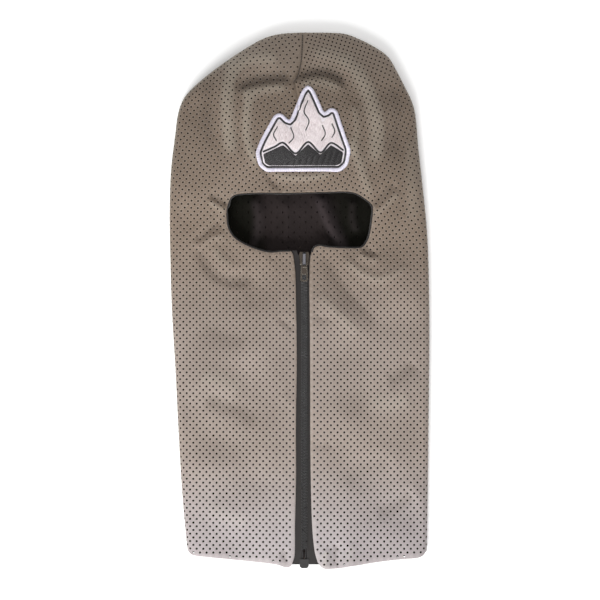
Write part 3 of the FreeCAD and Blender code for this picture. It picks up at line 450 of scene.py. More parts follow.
def spread_out(points, gap):
    """The points less those that stand too close to an earlier one."""
    kept, cells = [], {}
    for point in points:
        cell = (int(point[0] // gap), int(point[1] // gap))
        close = (cells.get((cell[0] + i, cell[1] + j)) for i in (-1, 0, 1) for j in (-1, 0, 1))
        if any(other is not None and math.dist(point, other) < gap for other in close):
            continue
        cells[cell] = point
        kept.append(point)
    return np.array(kept)


# ------------------------------------------------------------------------------------ mesh building
def twice_area(flat, faces):
    """Twice the signed area of each flat triangle."""
    a, b, c = (flat[faces[:, k]] for k in range(3))
    return (b[:, 0] - a[:, 0]) * (c[:, 1] - a[:, 1]) - (b[:, 1] - a[:, 1]) * (c[:, 0] - a[:, 0])


def triangulate(polygon, holes, spots, lines=()):
    """Flat triangles inside a polygon.  holes are rings of points left open, spots are loose points
    and lines are open runs of edges.  Returns points, triangles and each point's hole number or -1."""
    points, edges, ring_of = [], [], []

    def add(run, closed, ring):
        first = len(points)
        points.extend(Vector(p) for p in run)
        ring_of.extend([ring] * len(run))
        edges.extend((first + k, first + k + 1) for k in range(len(run) - 1))
        if closed:
            edges.append((first + len(run) - 1, first))

    add(polygon, True, -1)
    for number, ring in enumerate(holes):
        add(ring, True, number)
    for line in lines:
        add(line, False, -1)
    for spot in spots:
        points.append(Vector(spot))
        ring_of.append(-1)
    made, _, faces, origins, _, _ = delaunay_2d_cdt(points, edges, [], 1, 1e-5, True)
    flat = np.array([(p.x, p.y) for p in made])
    rings = np.array([ring_of[o[0]] if o else -1 for o in origins])
    faces = np.array(faces)
    face_rings = rings[faces]
    in_hole = (face_rings[:, 0] >= 0) & (face_rings == face_rings[:, :1]).all(axis=1)
    faces = faces[~in_hole]
    faces = faces[in_polygon(flat[faces].mean(axis=1), polygon)]
    twice = twice_area(flat, faces)
    whole = np.abs(twice) > 1e-7
    faces = faces[whole]
    flip = twice[whole] < 0
    faces[flip] = faces[flip][:, ::-1]
    used = np.unique(faces)
    renumber = np.full(len(flat), -1)
    renumber[used] = np.arange(len(used))
    return flat[used], renumber[faces], rings[used]


def open_edges(faces):
    """The directed edges that belong to one triangle only."""
    edges = np.vstack([faces[:, [0, 1]], faces[:, [1, 2]], faces[:, [2, 0]]])
    both = {(a, b) for a, b in edges.tolist()}
    return [(a, b) for a, b in edges.tolist() if (b, a) not in both]


def new_object(name, points, faces, materials, body="hood", shades=None, sharp=None):
    """A smooth mesh object made from millimetre points."""
    mesh = bpy.data.meshes.new(name)
    mesh.from_pydata((np.asarray(points) * MM).tolist(), [], [list(f) for f in faces])
    mesh.validate()
    mesh.shade_smooth()
    thing = bpy.data.objects.new(name, mesh)
    bpy.context.scene.collection.objects.link(thing)
    for material in materials:
        mesh.materials.append(material)
    for key, values in (shades or {}).items():
        kind = "FLOAT" if values.ndim == 1 else "FLOAT_VECTOR"
        layer = mesh.attributes.new(key, kind, "POINT")
        layer.data.foreach_set("value" if kind == "FLOAT" else "vector", values.astype(np.float32).ravel())
    if sharp is not None:
        mesh.set_sharp_from_angle(angle=math.radians(sharp))
    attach(thing, body)
    return thing


def thick_panel(name, flat, faces, rings, surface, outward, inset, thickness, materials, folds=()):
    """A closed sheet: its outer face, its inner face, the walls of its holes and rounded free edges.
    outward is +1 where the surface's own normal points out of the cloth's outer face."""
    skin = surface(flat)
    normal = normals_of(surface, flat) * outward
    depth = inset if np.ndim(inset) else np.full(len(flat), float(inset))
    outer = skin - normal * depth[:, None]
    inner = outer - normal * thickness
    inner[:, 2] = np.maximum(inner[:, 2], FLOOR_Z + 0.05)
    count = len(flat)
    front = faces if outward > 0 else faces[:, ::-1]
    all_faces = front.tolist() + (front[:, ::-1] + count).tolist()
    points = [outer, inner]
    rim, middle, walls = [], {}, []
    for a, b in open_edges(front):
        if rings[a] >= 0 and rings[a] == rings[b]:
            walls.append(len(all_faces))
            all_faces.append([b, a, a + count, b + count])
        else:
            rim.append((a, b))
    extra = []
    for a, b in rim:
        run = outer[b] - outer[a]
        out = np.cross(run, normal[a])
        out = out / max(np.linalg.norm(out), 1e-9)
        for k in (a, b):
            middle.setdefault(k, []).append(out)
    index = {}
    for k, outs in middle.items():
        push = np.mean(outs, axis=0)
        index[k] = 2 * count + len(extra)
        extra.append((outer[k] + inner[k]) / 2 + push * [0.42, 0.42, 0.3] * thickness)
    for a, b in rim:
        all_faces.append([b, a, index[a], index[b]])
        all_faces.append([index[b], index[a], a + count, b + count])
    if extra:
        points.append(np.array(extra))
    # weave also carries the flat height, along which the shell's painted light gradient runs.
    weave = np.column_stack([pattern_of(flat), flat[:, 1]])
    seam = to_line(flat[:, 0], flat[:, 1], CROWN_SEAM)[0]
    punched = np.where(flat[:, 1] > 160, smooth(seam, 3, 7), 1.0)
    # The fold heights are stored for the materials' painted highlight on ridges and painted shade in valleys.
    fold = crease_height(flat[:, 0], flat[:, 1], folds) / RELIEF
    # On the front a narrow dip along the crown seam adds a line of painted shade.
    if len(folds) and outward > 0:
        fold = fold - 3.4 * bell(seam, 0.9) * smooth(flat[:, 1], 196, 206)
    order = np.array(list(index), int) if index else np.zeros(0, int)
    weave = np.vstack([weave, weave, weave[order]])
    punched = np.concatenate([punched, punched, punched[order]])
    fold = np.concatenate([fold, fold, fold[order]])
    panel = new_object(name, np.vstack(points), all_faces, materials,
                       shades={"weave": weave, "punched": punched, "fold": fold}, sharp=52)
    if len(materials) > 1:
        marks = np.zeros(len(all_faces), np.int32)
        marks[walls] = 1
        marks[len(front):2 * len(front)] = 1
        panel.data.polygons.foreach_set("material_index", marks)
    return panel


def ring_points(centre, radius, sides, stretch=1.0, turn=0.0):
    """A small round or long hole."""
    angles = (np.arange(sides) + 0.5) * 2 * math.pi / sides
    x, y = radius * np.cos(angles), radius * stretch * np.sin(angles)
    ca, sa = math.cos(turn), math.sin(turn)
    return np.column_stack([centre[0] + x * ca - y * sa, centre[1] + x * sa + y * ca])


def free_of(points, line, gap):
    """Which points stand at least gap away from a line."""
    return to_line(points[:, 0], points[:, 1], line)[0] > gap


def offset_outline(amount, step=3.0):
    """The hood's outline moved outwards, between the two ends of the hem."""
    run = unit(np.gradient(OUTLINE, axis=0))
    moved = OUTLINE + np.column_stack([-run[:, 1], run[:, 0]]) * amount
    low_left, low_right = HEM_LEFT[0][1], HEM_RIGHT[-1][1]
    middle = len(OUTLINE) // 2
    above = [p for k, p in enumerate(moved) if p[1] > (low_left if k < middle else low_right) + 1.5]
    ends = []
    for level, half in ((low_left, moved[:middle]), (low_right, moved[middle:][::-1])):
        ends.append((np.interp(level, half[:, 1], half[:, 0]), level))
    return through([ends[0]] + above + [ends[1]], step)


def as_loop(*lines):
    """Several lines that meet end to end, as one closed run of points."""
    run = np.vstack([line[:-1] if np.allclose(line[-1], after[0]) else line
                     for line, after in zip(lines, lines[1:] + lines[:1])])
    apart = np.linalg.norm(run - np.roll(run, 1, axis=0), axis=1) > 1e-3
    return run[apart]


# ---------------------------------------------------------------------------------------- materials
class Nodes:
    """A short way to write one material's node tree."""

    def __init__(self, name, colour, roughness, **sockets):
        self.material = bpy.data.materials.new(name)
        self.material.use_nodes = True
        self.tree = self.material.node_tree
        self.shader = self.tree.nodes["Principled BSDF"]
        self.shader.inputs["Base Color"].default_value = (*colour, 1)
        self.shader.inputs["Roughness"].default_value = roughness
        for key, value in sockets.items():
            self.shader.inputs[key.replace("_", " ")].default_value = value
        self.material.diffuse_color = (*colour, 1)

    def put(self, kind, *inputs, **settings):
        """Add a node; inputs fill its sockets in order, settings are its properties."""
        made = self.tree.nodes.new(kind)
        for key, value in settings.items():
            setattr(made, key, value)
        for place, value in enumerate(inputs):
            self.feed(made.inputs[place], value)
        return made

    def feed(self, socket, value):
        """Link an output to a socket, or set the socket's own value."""
        if value is None:
            return
        if isinstance(value, bpy.types.NodeSocket):
            self.tree.links.new(value, socket)
        else:
            socket.default_value = value

    def sum(self, operation, *values):
        """One step of arithmetic."""
        return self.put("ShaderNodeMath", *values, operation=operation).outputs[0]

    def ramp(self, value, low, high, out_low=0.0, out_high=1.0):
        """A smooth step from one value to another."""
        made = self.put(
            "ShaderNodeMapRange", value, low, high, out_low, out_high, interpolation_type="SMOOTHSTEP")
        return made.outputs[0]

    def mix(self, factor, first, second, blend="MIX"):
        made = self.tree.nodes.new("ShaderNodeMix")
        made.data_type = "RGBA"
        made.blend_type = blend
        self.feed(made.inputs[0], factor)
        self.feed(made.inputs[6], first)
        self.feed(made.inputs[7], second)
        return made.outputs[2]

    def attribute(self, name, output="Fac"):
        """One of the values that new_object stored with the points."""
        return self.put("ShaderNodeAttribute", attribute_name=name).outputs[output]

    def crossed(self, first, second):
        """Two sets of ribs together, the first one stronger."""
        return self.sum("ADD", self.sum("MULTIPLY", first, 0.6), self.sum("MULTIPLY", second, 0.4))

    def noise(self, vector, scale, detail=3.0):
        made = self.put("ShaderNodeTexNoise")
        self.feed(made.inputs["Vector"], vector)
        made.inputs["Scale"].default_value = scale
        made.inputs["Detail"].default_value = detail
        return made.outputs["Fac"]

    def wave(self, vector, scale, direction="X", distortion=0.0):
        made = self.put("ShaderNodeTexWave", bands_direction=direction)
        self.feed(made.inputs["Vector"], vector)
        made.inputs["Scale"].default_value = scale
        made.inputs["Distortion"].default_value = distortion
        return made.outputs["Fac"]

    def bump(self, height, distance, strength=1.0, normal=None):
        made = self.put("ShaderNodeBump")
        made.inputs["Strength"].default_value = strength
        made.inputs["Distance"].default_value = distance * MM
        self.feed(made.inputs["Height"], height)
        self.feed(made.inputs["Normal"], normal)
        return made.outputs["Normal"]

    def colour(self, value):
        self.tree.links.new(value, self.shader.inputs["Base Color"])

    def normal(self, value):
        self.tree.links.new(value, self.shader.inputs["Normal"])

    def place(self):
        """The object's own coordinates, in metres."""
        return self.put("ShaderNodeTexCoord").outputs["Object"]


def linear(red, green, blue):
    """An 8-bit screen colour as linear light."""
    return tuple(
        ((c / 255 + 0.055) / 1.055) ** 2.4 if c > 10 else c / 255 / 12.92 for c in (red, green, blue))


def tint(red, green, blue):
    """The same with an alpha of 1, for a node's socket."""
    return (*linear(red, green, blue), 1)


def shell_material():
    """Smooth knitted jersey, punched with holes: a fine rib, dished hole rims and a soft bloom. Its colour
    also holds painted light: lighter at the hem and darker over the head, painted highlights on fold ridges
    and round each hole, and painted shade in fold valleys and along the crown seam.
    """
    n = Nodes("perforated_shell_cloth", linear(148, 137, 128), 0.62, Sheen_Weight=0.35, Sheen_Roughness=0.35,
              Specular_IOR_Level=0.25)
    n.shader.inputs["Sheen Tint"].default_value = (0.84, 0.94, 0.80, 1)
    split = n.put("ShaderNodeSeparateXYZ", n.attribute("weave", "Vector")).outputs
    along, row, height = split[0], split[1], split[2]
    distances = []
    for half in (0.0, 0.5):
        cell_x = n.sum("SUBTRACT", n.sum("FRACT", n.sum("ADD", along, 0.5 + half)), 0.5)
        cell_y = n.sum("SUBTRACT", n.sum("FRACT", n.sum("ADD", n.sum("MULTIPLY", row, 0.5), 0.5 + half)), 0.5)
        square_x = n.sum("POWER", n.sum("MULTIPLY", cell_x, IN_ROW), 2.0)
        square_y = n.sum("POWER", n.sum("MULTIPLY", cell_y, 6.6), 2.0)
        distances.append(n.sum("SQRT", n.sum("ADD", square_x, square_y)))
    distance = n.sum("MINIMUM", *distances)
    punched = n.attribute("punched")
    dish = n.sum("MULTIPLY", n.ramp(distance, HOLE * 0.9, HOLE * 2.2), punched)
    place = n.place()
    blotch = n.noise(place, 16.0)
    fine = n.noise(place, 900.0, 2.0)
    wales = n.wave(place, 260.0, "X", 0.6)
    courses = n.wave(place, 200.0, "Y", 0.6)
    knit = n.crossed(wales, courses)
    # Painted light: the colour runs from light at the hem to dark over the head, darkest at the temples and a
    # little lighter again at the crown, standing for the fall-off of the light across the hood.
    low = n.mix(n.ramp(blotch, 0.3, 0.7), tint(158, 150, 151), tint(168, 161, 162))
    middle = n.mix(n.ramp(blotch, 0.3, 0.7), tint(143, 130, 121), tint(154, 141, 132))
    high = n.mix(n.ramp(blotch, 0.3, 0.7), tint(120, 104, 89), tint(133, 116, 101))
    colour = n.mix(n.ramp(height, -250, -130), low, middle)
    colour = n.mix(n.ramp(height, -60, 75), colour, high)
    colour = n.mix(n.ramp(height, 60, 150, 0.0, 0.5), colour, tint(104, 89, 75))
    colour = n.mix(n.ramp(height, 190, 240, 0.0, 0.6), colour, tint(146, 132, 119))
    # Painted highlight and painted shade: lighter along fold ridges, darker in fold valleys and in the crown
    # seam's groove, following the stored fold heights.
    fold = n.attribute("fold")
    colour = n.mix(n.ramp(fold, 0.2, 1.9, 0.0, 0.24), colour, tint(196, 190, 174))
    colour = n.mix(n.ramp(fold, -0.2, -2.6, 0.0, 0.62), colour, tint(84, 71, 60))
    colour = n.mix(n.sum("MULTIPLY", knit, 0.18), colour, tint(98, 89, 81))
    colour = n.mix(n.ramp(fine, 0.4, 0.75, 0.0, 0.12), colour, tint(196, 190, 184))
    # Painted highlight: a lighter ring round each hole, for the light caught on the raised hole rims.
    rim_highlight = n.sum("MULTIPLY", n.ramp(distance, HOLE * 1.1, HOLE * 2.1, 0.10, 0.0), punched)
    colour = n.mix(rim_highlight, colour, tint(190, 183, 178))
    n.colour(colour)
    bump = n.bump(dish, 0.12)
    bump = n.bump(knit, 0.035, 0.7, bump)
    n.normal(n.bump(fine, 0.03, 0.6, bump))
    return n.material


def lining_material():
    """Black warp-knit mesh with a faint rib, and painted light: lighter in a band down the middle, painted
    shade at the sides, and painted highlights along its folds.
    """
    n = Nodes("mesh_lining_cloth", linear(24, 21, 20), 0.9, Sheen_Weight=0.03, Sheen_Roughness=0.5,
              Specular_IOR_Level=0.08)
    place = n.place()
    ribs = n.wave(place, 300.0, "X", 0.8)
    cross = n.wave(place, 420.0, "Y", 1.0)
    knit = n.crossed(ribs, cross)
    # Painted light: a lighter band down the middle and painted shade at the sides, standing for light falling
    # in the middle while the sides lie in shadow under the front.
    lit_middle = n.mix(knit, tint(36, 30, 29), tint(56, 49, 49))
    dark = n.mix(knit, tint(12, 12, 9), tint(27, 26, 20))
    split = n.put("ShaderNodeSeparateXYZ", place).outputs
    middle = n.sum("ABSOLUTE", n.sum("ADD", split[0], 0.003))
    lit_share = n.sum("ADD", n.ramp(middle, 0.046, 0.022), n.ramp(n.noise(place, 30.0), 0.3, 0.7, -0.25, 0.25))
    colour = n.mix(n.ramp(lit_share, 0.0, 1.0), dark, lit_middle)
    # Painted highlight: lighter along the lining's fold ridges.
    fold = n.attribute("fold")
    n.colour(n.mix(n.ramp(fold, 0.8, 4.2, 0.0, 0.5), colour, tint(66, 58, 60)))
    n.normal(n.bump(knit, 0.08))
    return n.material


def thread_material(name, dark, light, scale=900.0, roughness=0.5):
    """Twisted embroidery thread; each stitch has a shade of its own."""
    n = Nodes(name, light, roughness, Sheen_Weight=0.35, Sheen_Roughness=0.35, Specular_IOR_Level=0.45)
    shade = n.attribute("shade")
    fibre = n.noise(n.place(), scale, 2.0)
    tone = n.sum("MULTIPLY", n.sum("ADD", shade, fibre), 0.5)
    n.colour(n.mix(tone, (*dark, 1), (*light, 1)))
    n.normal(n.bump(fibre, 0.03, 0.8))
    return n.material


def woven_material(name, dark, light, roughness=0.75):
    """Close-woven tape: a herringbone of two crossing waves."""
    n = Nodes(name, dark, roughness, Sheen_Weight=0.2, Specular_IOR_Level=0.3)
    place = n.place()
    ribs = n.wave(place, 330.0, "X", 0.0)
    picks = n.wave(place, 500.0, "DIAGONAL", 0.0)
    weave = n.crossed(ribs, picks)
    n.colour(n.mix(n.ramp(weave, 0.2, 0.9), (*dark, 1), (*light, 1)))
    n.normal(n.bump(weave, 0.07))
    return n.material


def moulded_material(name, colour, roughness, grain=0.02):
    """Satin moulded plastic, glossier in places."""
    n = Nodes(name, colour, roughness, Specular_IOR_Level=0.5)
    place = n.place()
    fine = n.noise(place, 700.0, 3.0)
    n.tree.links.new(n.ramp(n.noise(place, 160.0), 0.3, 0.7, roughness - 0.08, roughness + 0.1),
                     n.shader.inputs["Roughness"])
    n.normal(n.bump(fine, grain))
    return n.material


def slider_material():
    """Black lacquered zinc whose edges have worn bright."""
    dark, worn = linear(58, 50, 42), linear(190, 182, 170)
    n = Nodes("lacquered_slider_metal", dark, 0.36, Metallic=0.5, Specular_IOR_Level=0.4)
    place = n.place()
    bevel = n.put("ShaderNodeBevel")
    bevel.inputs["Radius"].default_value = 0.5 * MM
    true = n.put("ShaderNodeNewGeometry").outputs["Normal"]
    same = n.put("ShaderNodeVectorMath", bevel.outputs[0], true, operation="DOT_PRODUCT").outputs["Value"]
    edge = n.ramp(same, 0.99, 0.80)
    rubbed = n.sum("MULTIPLY", edge, n.ramp(n.noise(place, 900.0), 0.25, 0.6, 0.6, 1.0))
    n.colour(n.mix(rubbed, (*dark, 1), (*worn, 1)))
    n.normal(n.bump(n.noise(place, 1400.0), 0.012, 0.6, bevel.outputs[0]))
    return n.material


def film_material():
    """The stiff clear film over the tapes' lower ends."""
    n = Nodes("clear_tape_film", linear(34, 31, 30), 0.34, Specular_IOR_Level=0.35, Coat_Weight=0.15)
    n.normal(n.bump(n.noise(n.place(), 300.0), 0.03))
    return n.material


shell_cloth = shell_material()
# Painted shade: the lining's pinhole walls and its inner face are darker than the lining, for the shade
# inside the pinholes.
pinhole_shade = Nodes("lining_pinhole_wall_shade", linear(9, 7, 7), 0.95, Specular_IOR_Level=0.02).material
# Painted shade: the hole walls and the cloth's inner face are far darker than the cloth, for the shade inside
# the holes and between the layers.
hole_wall_shade = Nodes("punched_hole_wall_shade", linear(62, 52, 46), 0.9, Specular_IOR_Level=0.1).material
lining_cloth = lining_material()
edge_cloth = woven_material("rolled_edge_cloth", linear(24, 22, 22), linear(52, 48, 46), 0.8)
tape_cloth = woven_material("woven_zip_tape", linear(26, 23, 22), linear(50, 46, 45))
cord_cloth = woven_material("woven_tape_cord", linear(22, 20, 19), linear(46, 42, 42))
tooth_plastic = moulded_material("moulded_tooth_plastic", linear(26, 24, 24), 0.33)
box_plastic = moulded_material("moulded_box_plastic", linear(22, 20, 20), 0.5)
pin_plastic = moulded_material("moulded_pin_plastic", linear(24, 22, 22), 0.45)
slider_metal = slider_material()
tape_film = film_material()
bridge_metal = Nodes("rubbed_bridge_metal", linear(104, 103, 108), 0.42, Metallic=0.8).material
spring_steel = Nodes("spring_steel", linear(150, 150, 152), 0.3, Metallic=1.0).material
white_thread = thread_material("white_satin_thread", linear(206, 190, 192), linear(250, 243, 243))
lilac_thread = thread_material("lilac_border_thread", linear(202, 196, 216), linear(247, 243, 252))
black_thread = thread_material("black_satin_thread", linear(14, 13, 14), linear(64, 61, 62), roughness=0.42)
seam_thread = thread_material("taupe_seam_thread", linear(92, 82, 74), linear(140, 130, 120), roughness=0.6)
dark_thread = thread_material("dark_edge_thread", linear(20, 18, 18), linear(60, 56, 54), roughness=0.6)
twill_cloth = woven_material("patch_twill", linear(205, 196, 200), linear(240, 234, 238), 0.8)


# ------------------------------------------------------------------------------------ the outer cloth
def lay_sheet(flat, faces):
    """Work out the area of a piece's flat pattern; the result is not used further."""
    area = float(np.abs(twice_area(flat, faces)).sum() / 2)


def eye_distance(flat):
    """How far flat points lie from the edge of the eye opening."""
    return to_line(flat[:, 0], flat[:, 1], EYE_EDGE)[0]


def under_patch(points):
    """Which points are hidden by the middle of the patch."""
    off_x = np.abs(points[:, 0] - PATCH_X) / (PATCH_HIGH[0] - PATCH_LOW[0])
    off_y = (points[:, 1] - PATCH_Y) / (PATCH_HIGH[1] - PATCH_LOW[1])
    return (off_x < 0.40) & (off_y > -0.44) & (off_y < 0.04)


def make_shell_front():
    """The front with its side folds, down to the underside: one cut piece."""
    wrap = (math.pi - 1) * FOLD
    around = offset_outline(wrap)
    foot_left = np.array([around[0], HEM_LEFT[0]])
    foot_right = np.array([HEM_RIGHT[-1], around[-1]])
    loop = as_loop(
        through(foot_left), HEM_LEFT, SLOT_LEFT, EYE_EDGE, SLOT_RIGHT, HEM_RIGHT, through(foot_right),
        around[::-1])
    centres = hole_centres()
    centres = centres[in_polygon(centres, loop)]
    closed = looped(loop)
    centres = centres[free_of(centres, closed, HOLE + 0.75)]
    hems = [HEM_LEFT, HEM_RIGHT]
    centres = centres[np.all([free_of(centres, hem, HOLE + 1.2) for hem in hems], axis=0)]
    upper = centres[:, 1] > 165
    centres = centres[~upper | free_of(centres, CROWN_SEAM, HOLE + 0.9)]
    centres = centres[~under_patch(centres)]
    centres = spread_out(centres, 2.5)
    stretched = np.interp(centres[:, 1], [-250, 150], [1.14, 0.90])
    rings = [ring_points(c, HOLE * size, HOLE_SIDES, turn=RANDOM.uniform(0, 1))
             for c, size in zip(centres, stretched)]
    spots = centres + [IN_ROW / 2, 0]
    depth = inside_of_outline(spots[:, 0], spots[:, 1])[0]
    wanted = ((depth < 9) | (spots[:, 1] > 96)) & in_polygon(spots, loop)
    spots = spots[wanted & free_of(spots, closed, 1.2) & ~under_patch(spots)]
    keep_off = spread_out(np.vstack([centres, spots]), 1.9)
    spots = keep_off[len(centres):]
    seam = CROWN_SEAM[(CROWN_SEAM[:, 1] > 190) & (CROWN_SEAM[:, 1] < 254)]
    flat, faces, ring = triangulate(loop, rings, spots, [seam, seam + [0.9, 0], seam - [0.9, 0]])
    front = thick_panel(
        "shell_front", flat, faces, ring, front_surface, 1, 0.0, SHELL, [shell_cloth, hole_wall_shade],
        CREASE_LINES)
    lay_sheet(flat, faces)
    return front


def make_shell_back(name, side):
    """One half of the back, from the side fold's underside to the centre back seam."""
    around = offset_outline(-FOLD)
    top = int(np.argmin(np.abs(around[:, 0] - BACK_SEAM_X) + (around[:, 1] < 200) * 1000))
    hem = through([(-103, -240.6), (-60, -246), (0, -249.5), (60, -247), (116, -240.6)], 3.0)
    hem = hem[(hem[:, 0] - BACK_SEAM_X) * side > 1.0]
    seam = np.array([(BACK_SEAM_X + side * 0.12, -249.6), (BACK_SEAM_X + side * 0.12, around[top][1])])
    seam = through(seam, 3.0)
    if side < 0:
        sides = around[:top]
        loop = as_loop(hem[hem[:, 0] > around[0][0] + 1], seam, sides[::-1])
    else:
        sides = around[top + 1:]
        loop = as_loop(seam[::-1], hem[hem[:, 0] < around[-1][0] - 1], sides[::-1])
    centres = hole_centres()
    centres = centres[in_polygon(centres, loop)]
    closed = looped(loop)
    centres = spread_out(centres[free_of(centres, closed, HOLE + 0.8)], 2.5)
    rings = [ring_points(c, HOLE, HOLE_SIDES, turn=RANDOM.uniform(0, 1)) for c in centres]
    flat, faces, ring = triangulate(loop, rings, [])
    back = thick_panel(
        name, flat, faces, ring, back_surface, -1, 0.0, SHELL, [shell_cloth, hole_wall_shade],
        BACK_CREASES)
    lay_sheet(flat, faces)


# ---------------------------------------------------------------------------------------- the lining
def grid_spots(loop, step, gap):
    """Evenly staggered points inside a loop, for a plain sheet."""
    low, high = loop.min(axis=0), loop.max(axis=0)
    columns, rows = np.meshgrid(np.arange(low[0], high[0], step), np.arange(low[1], high[1], step * 0.87))
    points = np.column_stack([columns.ravel(), rows.ravel()])
    points[:, 0] += (np.arange(len(points)) // columns.shape[1] % 2) * step / 2
    points = points[in_polygon(points, loop)]
    return points[free_of(points, looped(loop), gap)]


def make_lining_front():
    """The lining behind the front, sewn to it round the eye opening and along the hem."""
    around = offset_outline((math.pi / 2 - 1) * FOLD)
    raise_hem = np.array([0, 2.4])
    loop = as_loop(
        HEM_LEFT[2:] + raise_hem, SLOT_LEFT[1:] - [0.4, 0], EYE_EDGE, SLOT_RIGHT[:-1] + [0.4, 0],
        HEM_RIGHT[:-2] + raise_hem, around[::-1])
    flat, faces, ring = triangulate(loop, [], grid_spots(loop, 5.0, 2.0))
    near = np.minimum(eye_distance(flat), flat[:, 1] - np.interp(
        flat[:, 0], np.append(HEM_LEFT[:, 0], HEM_RIGHT[:, 0]), np.append(HEM_LEFT[:, 1], HEM_RIGHT[:, 1])))
    inset = LINING_INSET - (LINING_INSET - PINCHED) * bell(np.maximum(near, 0), 9)
    beside_zip = np.abs(flat[:, 0] - ZIP_X) < TAPE_FAR - ZIP_X + 3
    inset = np.where(beside_zip & (flat[:, 1] < 47), LINING_INSET, inset)
    front = thick_panel(
        "lining_front", flat, faces, ring, front_surface, 1, inset, LINING, [lining_cloth])
    lay_sheet(flat, faces)
    return front


def make_lining_back():
    """The lining's back, with its own long pinholes: it shows through the eye opening."""
    around = offset_outline(-(LINING_INSET + LINING + 1.2))
    hem = through([(-101, -238), (-60, -243.4), (0, -247), (60, -244.4), (114, -238)], 3.0)
    hem = hem[(hem[:, 0] > around[0][0] + 1) & (hem[:, 0] < around[-1][0] - 1)]
    loop = as_loop(hem, around[::-1])
    rows = int(np.ptp(loop[:, 1]) / PIN_PITCH) + 1
    columns, lines = np.meshgrid(np.arange(-12, 13), np.arange(rows))
    centres = np.column_stack([
        ((columns + 0.5 * (lines % 2)) * PIN_ROW).ravel(), (lines * PIN_PITCH + loop[:, 1].min()).ravel()])
    centres = centres[in_polygon(centres, loop)]
    centres = centres[free_of(centres, looped(loop), 2.2)]
    centres = centres[np.abs(centres[:, 0] - LINING_SEAM_X) > 1.6]
    rings = [ring_points(c, 0.52, 6, stretch=2.2, turn=RANDOM.uniform(-0.12, 0.12)) for c in centres]
    spots = centres + [PIN_ROW / 2, 0]
    spots = spots[in_polygon(spots, loop) & free_of(spots, looped(loop), 2.0)]
    seen = grid_spots(loop, 3.0, 2.0)
    seen = seen[(np.abs(seen[:, 0]) < 78) & (np.abs(seen[:, 1] - 74) < 40)]
    ends = np.vstack([centres + [0, 1.0], centres - [0, 1.0], centres])
    seen = far_from(seen, ends, 1.3)
    spots = far_from(spots, np.vstack([seen, ends]), 1.3)
    flat, faces, ring = triangulate(loop, rings, np.vstack([spots, seen]))
    back = thick_panel(
        "lining_back", flat, faces, ring, lining_back_surface, 1, 0.0, LINING, [lining_cloth, pinhole_shade],
        LINING_FOLDS)
    lay_sheet(flat, faces)


def far_from(points, others, gap):
    """The points that stand at least gap from every other one."""
    cells = {}
    for x, y in others:
        cells.setdefault((int(x // gap), int(y // gap)), []).append((x, y))
    kept = []
    for x, y in points:
        i, j = int(x // gap), int(y // gap)
        near = (q for a in (-1, 0, 1) for b in (-1, 0, 1) for q in cells.get((i + a, j + b), ()))
        if all(math.dist((x, y), q) >= gap for q in near):
            kept.append((x, y))
    return np.array(kept).reshape(-1, 2)


# ------------------------------------------------------------------------------------ swept pieces
def sweep(points, normals, wide, high, sides=8):
    """A tube of oval section along a run of points: its points and faces."""
    run = unit(np.gradient(points, axis=0))
    across = unit(np.cross(run, normals))
    up = np.cross(across, run)
    wide = np.broadcast_to(wide, len(points))
    high = np.broadcast_to(high, len(points))
    angles = np.arange(sides) * 2 * math.pi / sides
    rings = (points[:, None] + across[:, None] * (np.cos(angles)[None, :, None] * wide[:, None, None])
             + up[:, None] * (np.sin(angles)[None, :, None] * high[:, None, None]))
    faces = []
    count = len(points)
    for k in range(count - 1):
        here, following = k * sides, (k + 1) * sides
        for j in range(sides):
            after = (j + 1) % sides
            faces.append([here + j, here + after, following + after, following + j])
    faces.append(list(range(sides))[::-1])
    faces.append([(count - 1) * sides + j for j in range(sides)])
    return rings.reshape(-1, 3), faces


def join(pieces):
    """Several point-and-face pieces as one, with a shade for each piece's points."""
    points, faces, shades = [], [], []
    total = 0
    for verts, polys, shade in pieces:
        points.append(verts)
        faces.extend([[i + total for i in face] for face in polys])
        shades.append(np.full(len(verts), shade))
        total += len(verts)
    return np.vstack(points), faces, np.concatenate(shades)


def threads(name, pieces, material):
    """Many swept pieces as one object, each with its own shade."""
    points, faces, shades = join(pieces)
    return new_object(name, points, faces, [material], shades={"shade": shades})


def make_eye_edge():
    """The lining rolled over the cut edge all round the eye opening."""
    skin, normal = front_surface(EYE_EDGE), normals_of(front_surface, EYE_EDGE)
    centre = skin - normal * (SHELL * 0.5 + 0.55)
    wobble = 1 + 0.07 * np.sin(np.arange(len(EYE_EDGE)) * 1.3)
    tube = sweep(centre, normal, 0.95 * wobble, 1.55)
    return threads("eye_edge_binding", [(*tube, 0.5)], edge_cloth)


def stitch_row(line, length, gap, radius, surface, lift=0.0):
    """Short thread stitches that run along a line on a surface."""
    steps = np.linalg.norm(np.diff(line, axis=0), axis=1)
    along = np.concatenate([[0.0], np.cumsum(steps)])
    pieces = []
    starts = np.arange(gap, along[-1] - length, length + gap)
    samples = starts[:, None] + np.linspace(0, length, 5)[None, :]
    x = np.interp(samples, along, line[:, 0])
    y = np.interp(samples, along, line[:, 1])
    flat = np.column_stack([x.ravel(), y.ravel()])
    skin, normal = surface(flat), normals_of(surface, flat)
    hump = np.tile(np.array([-0.35, 0.55, 0.8, 0.55, -0.35]) * radius, len(starts))
    skin = skin + normal * (lift + hump)[:, None]
    for k in range(len(starts)):
        part = slice(5 * k, 5 * k + 5)
        tube = sweep(skin[part], normal[part], radius, radius, 6)
        pieces.append((*tube, float(RANDOM.uniform(0.2, 0.9))))
    return pieces


def beside(line, amount):
    """A line moved sideways, to the right of its direction."""
    run = unit(np.gradient(line, axis=0))
    return line + np.column_stack([run[:, 1], -run[:, 0]]) * amount


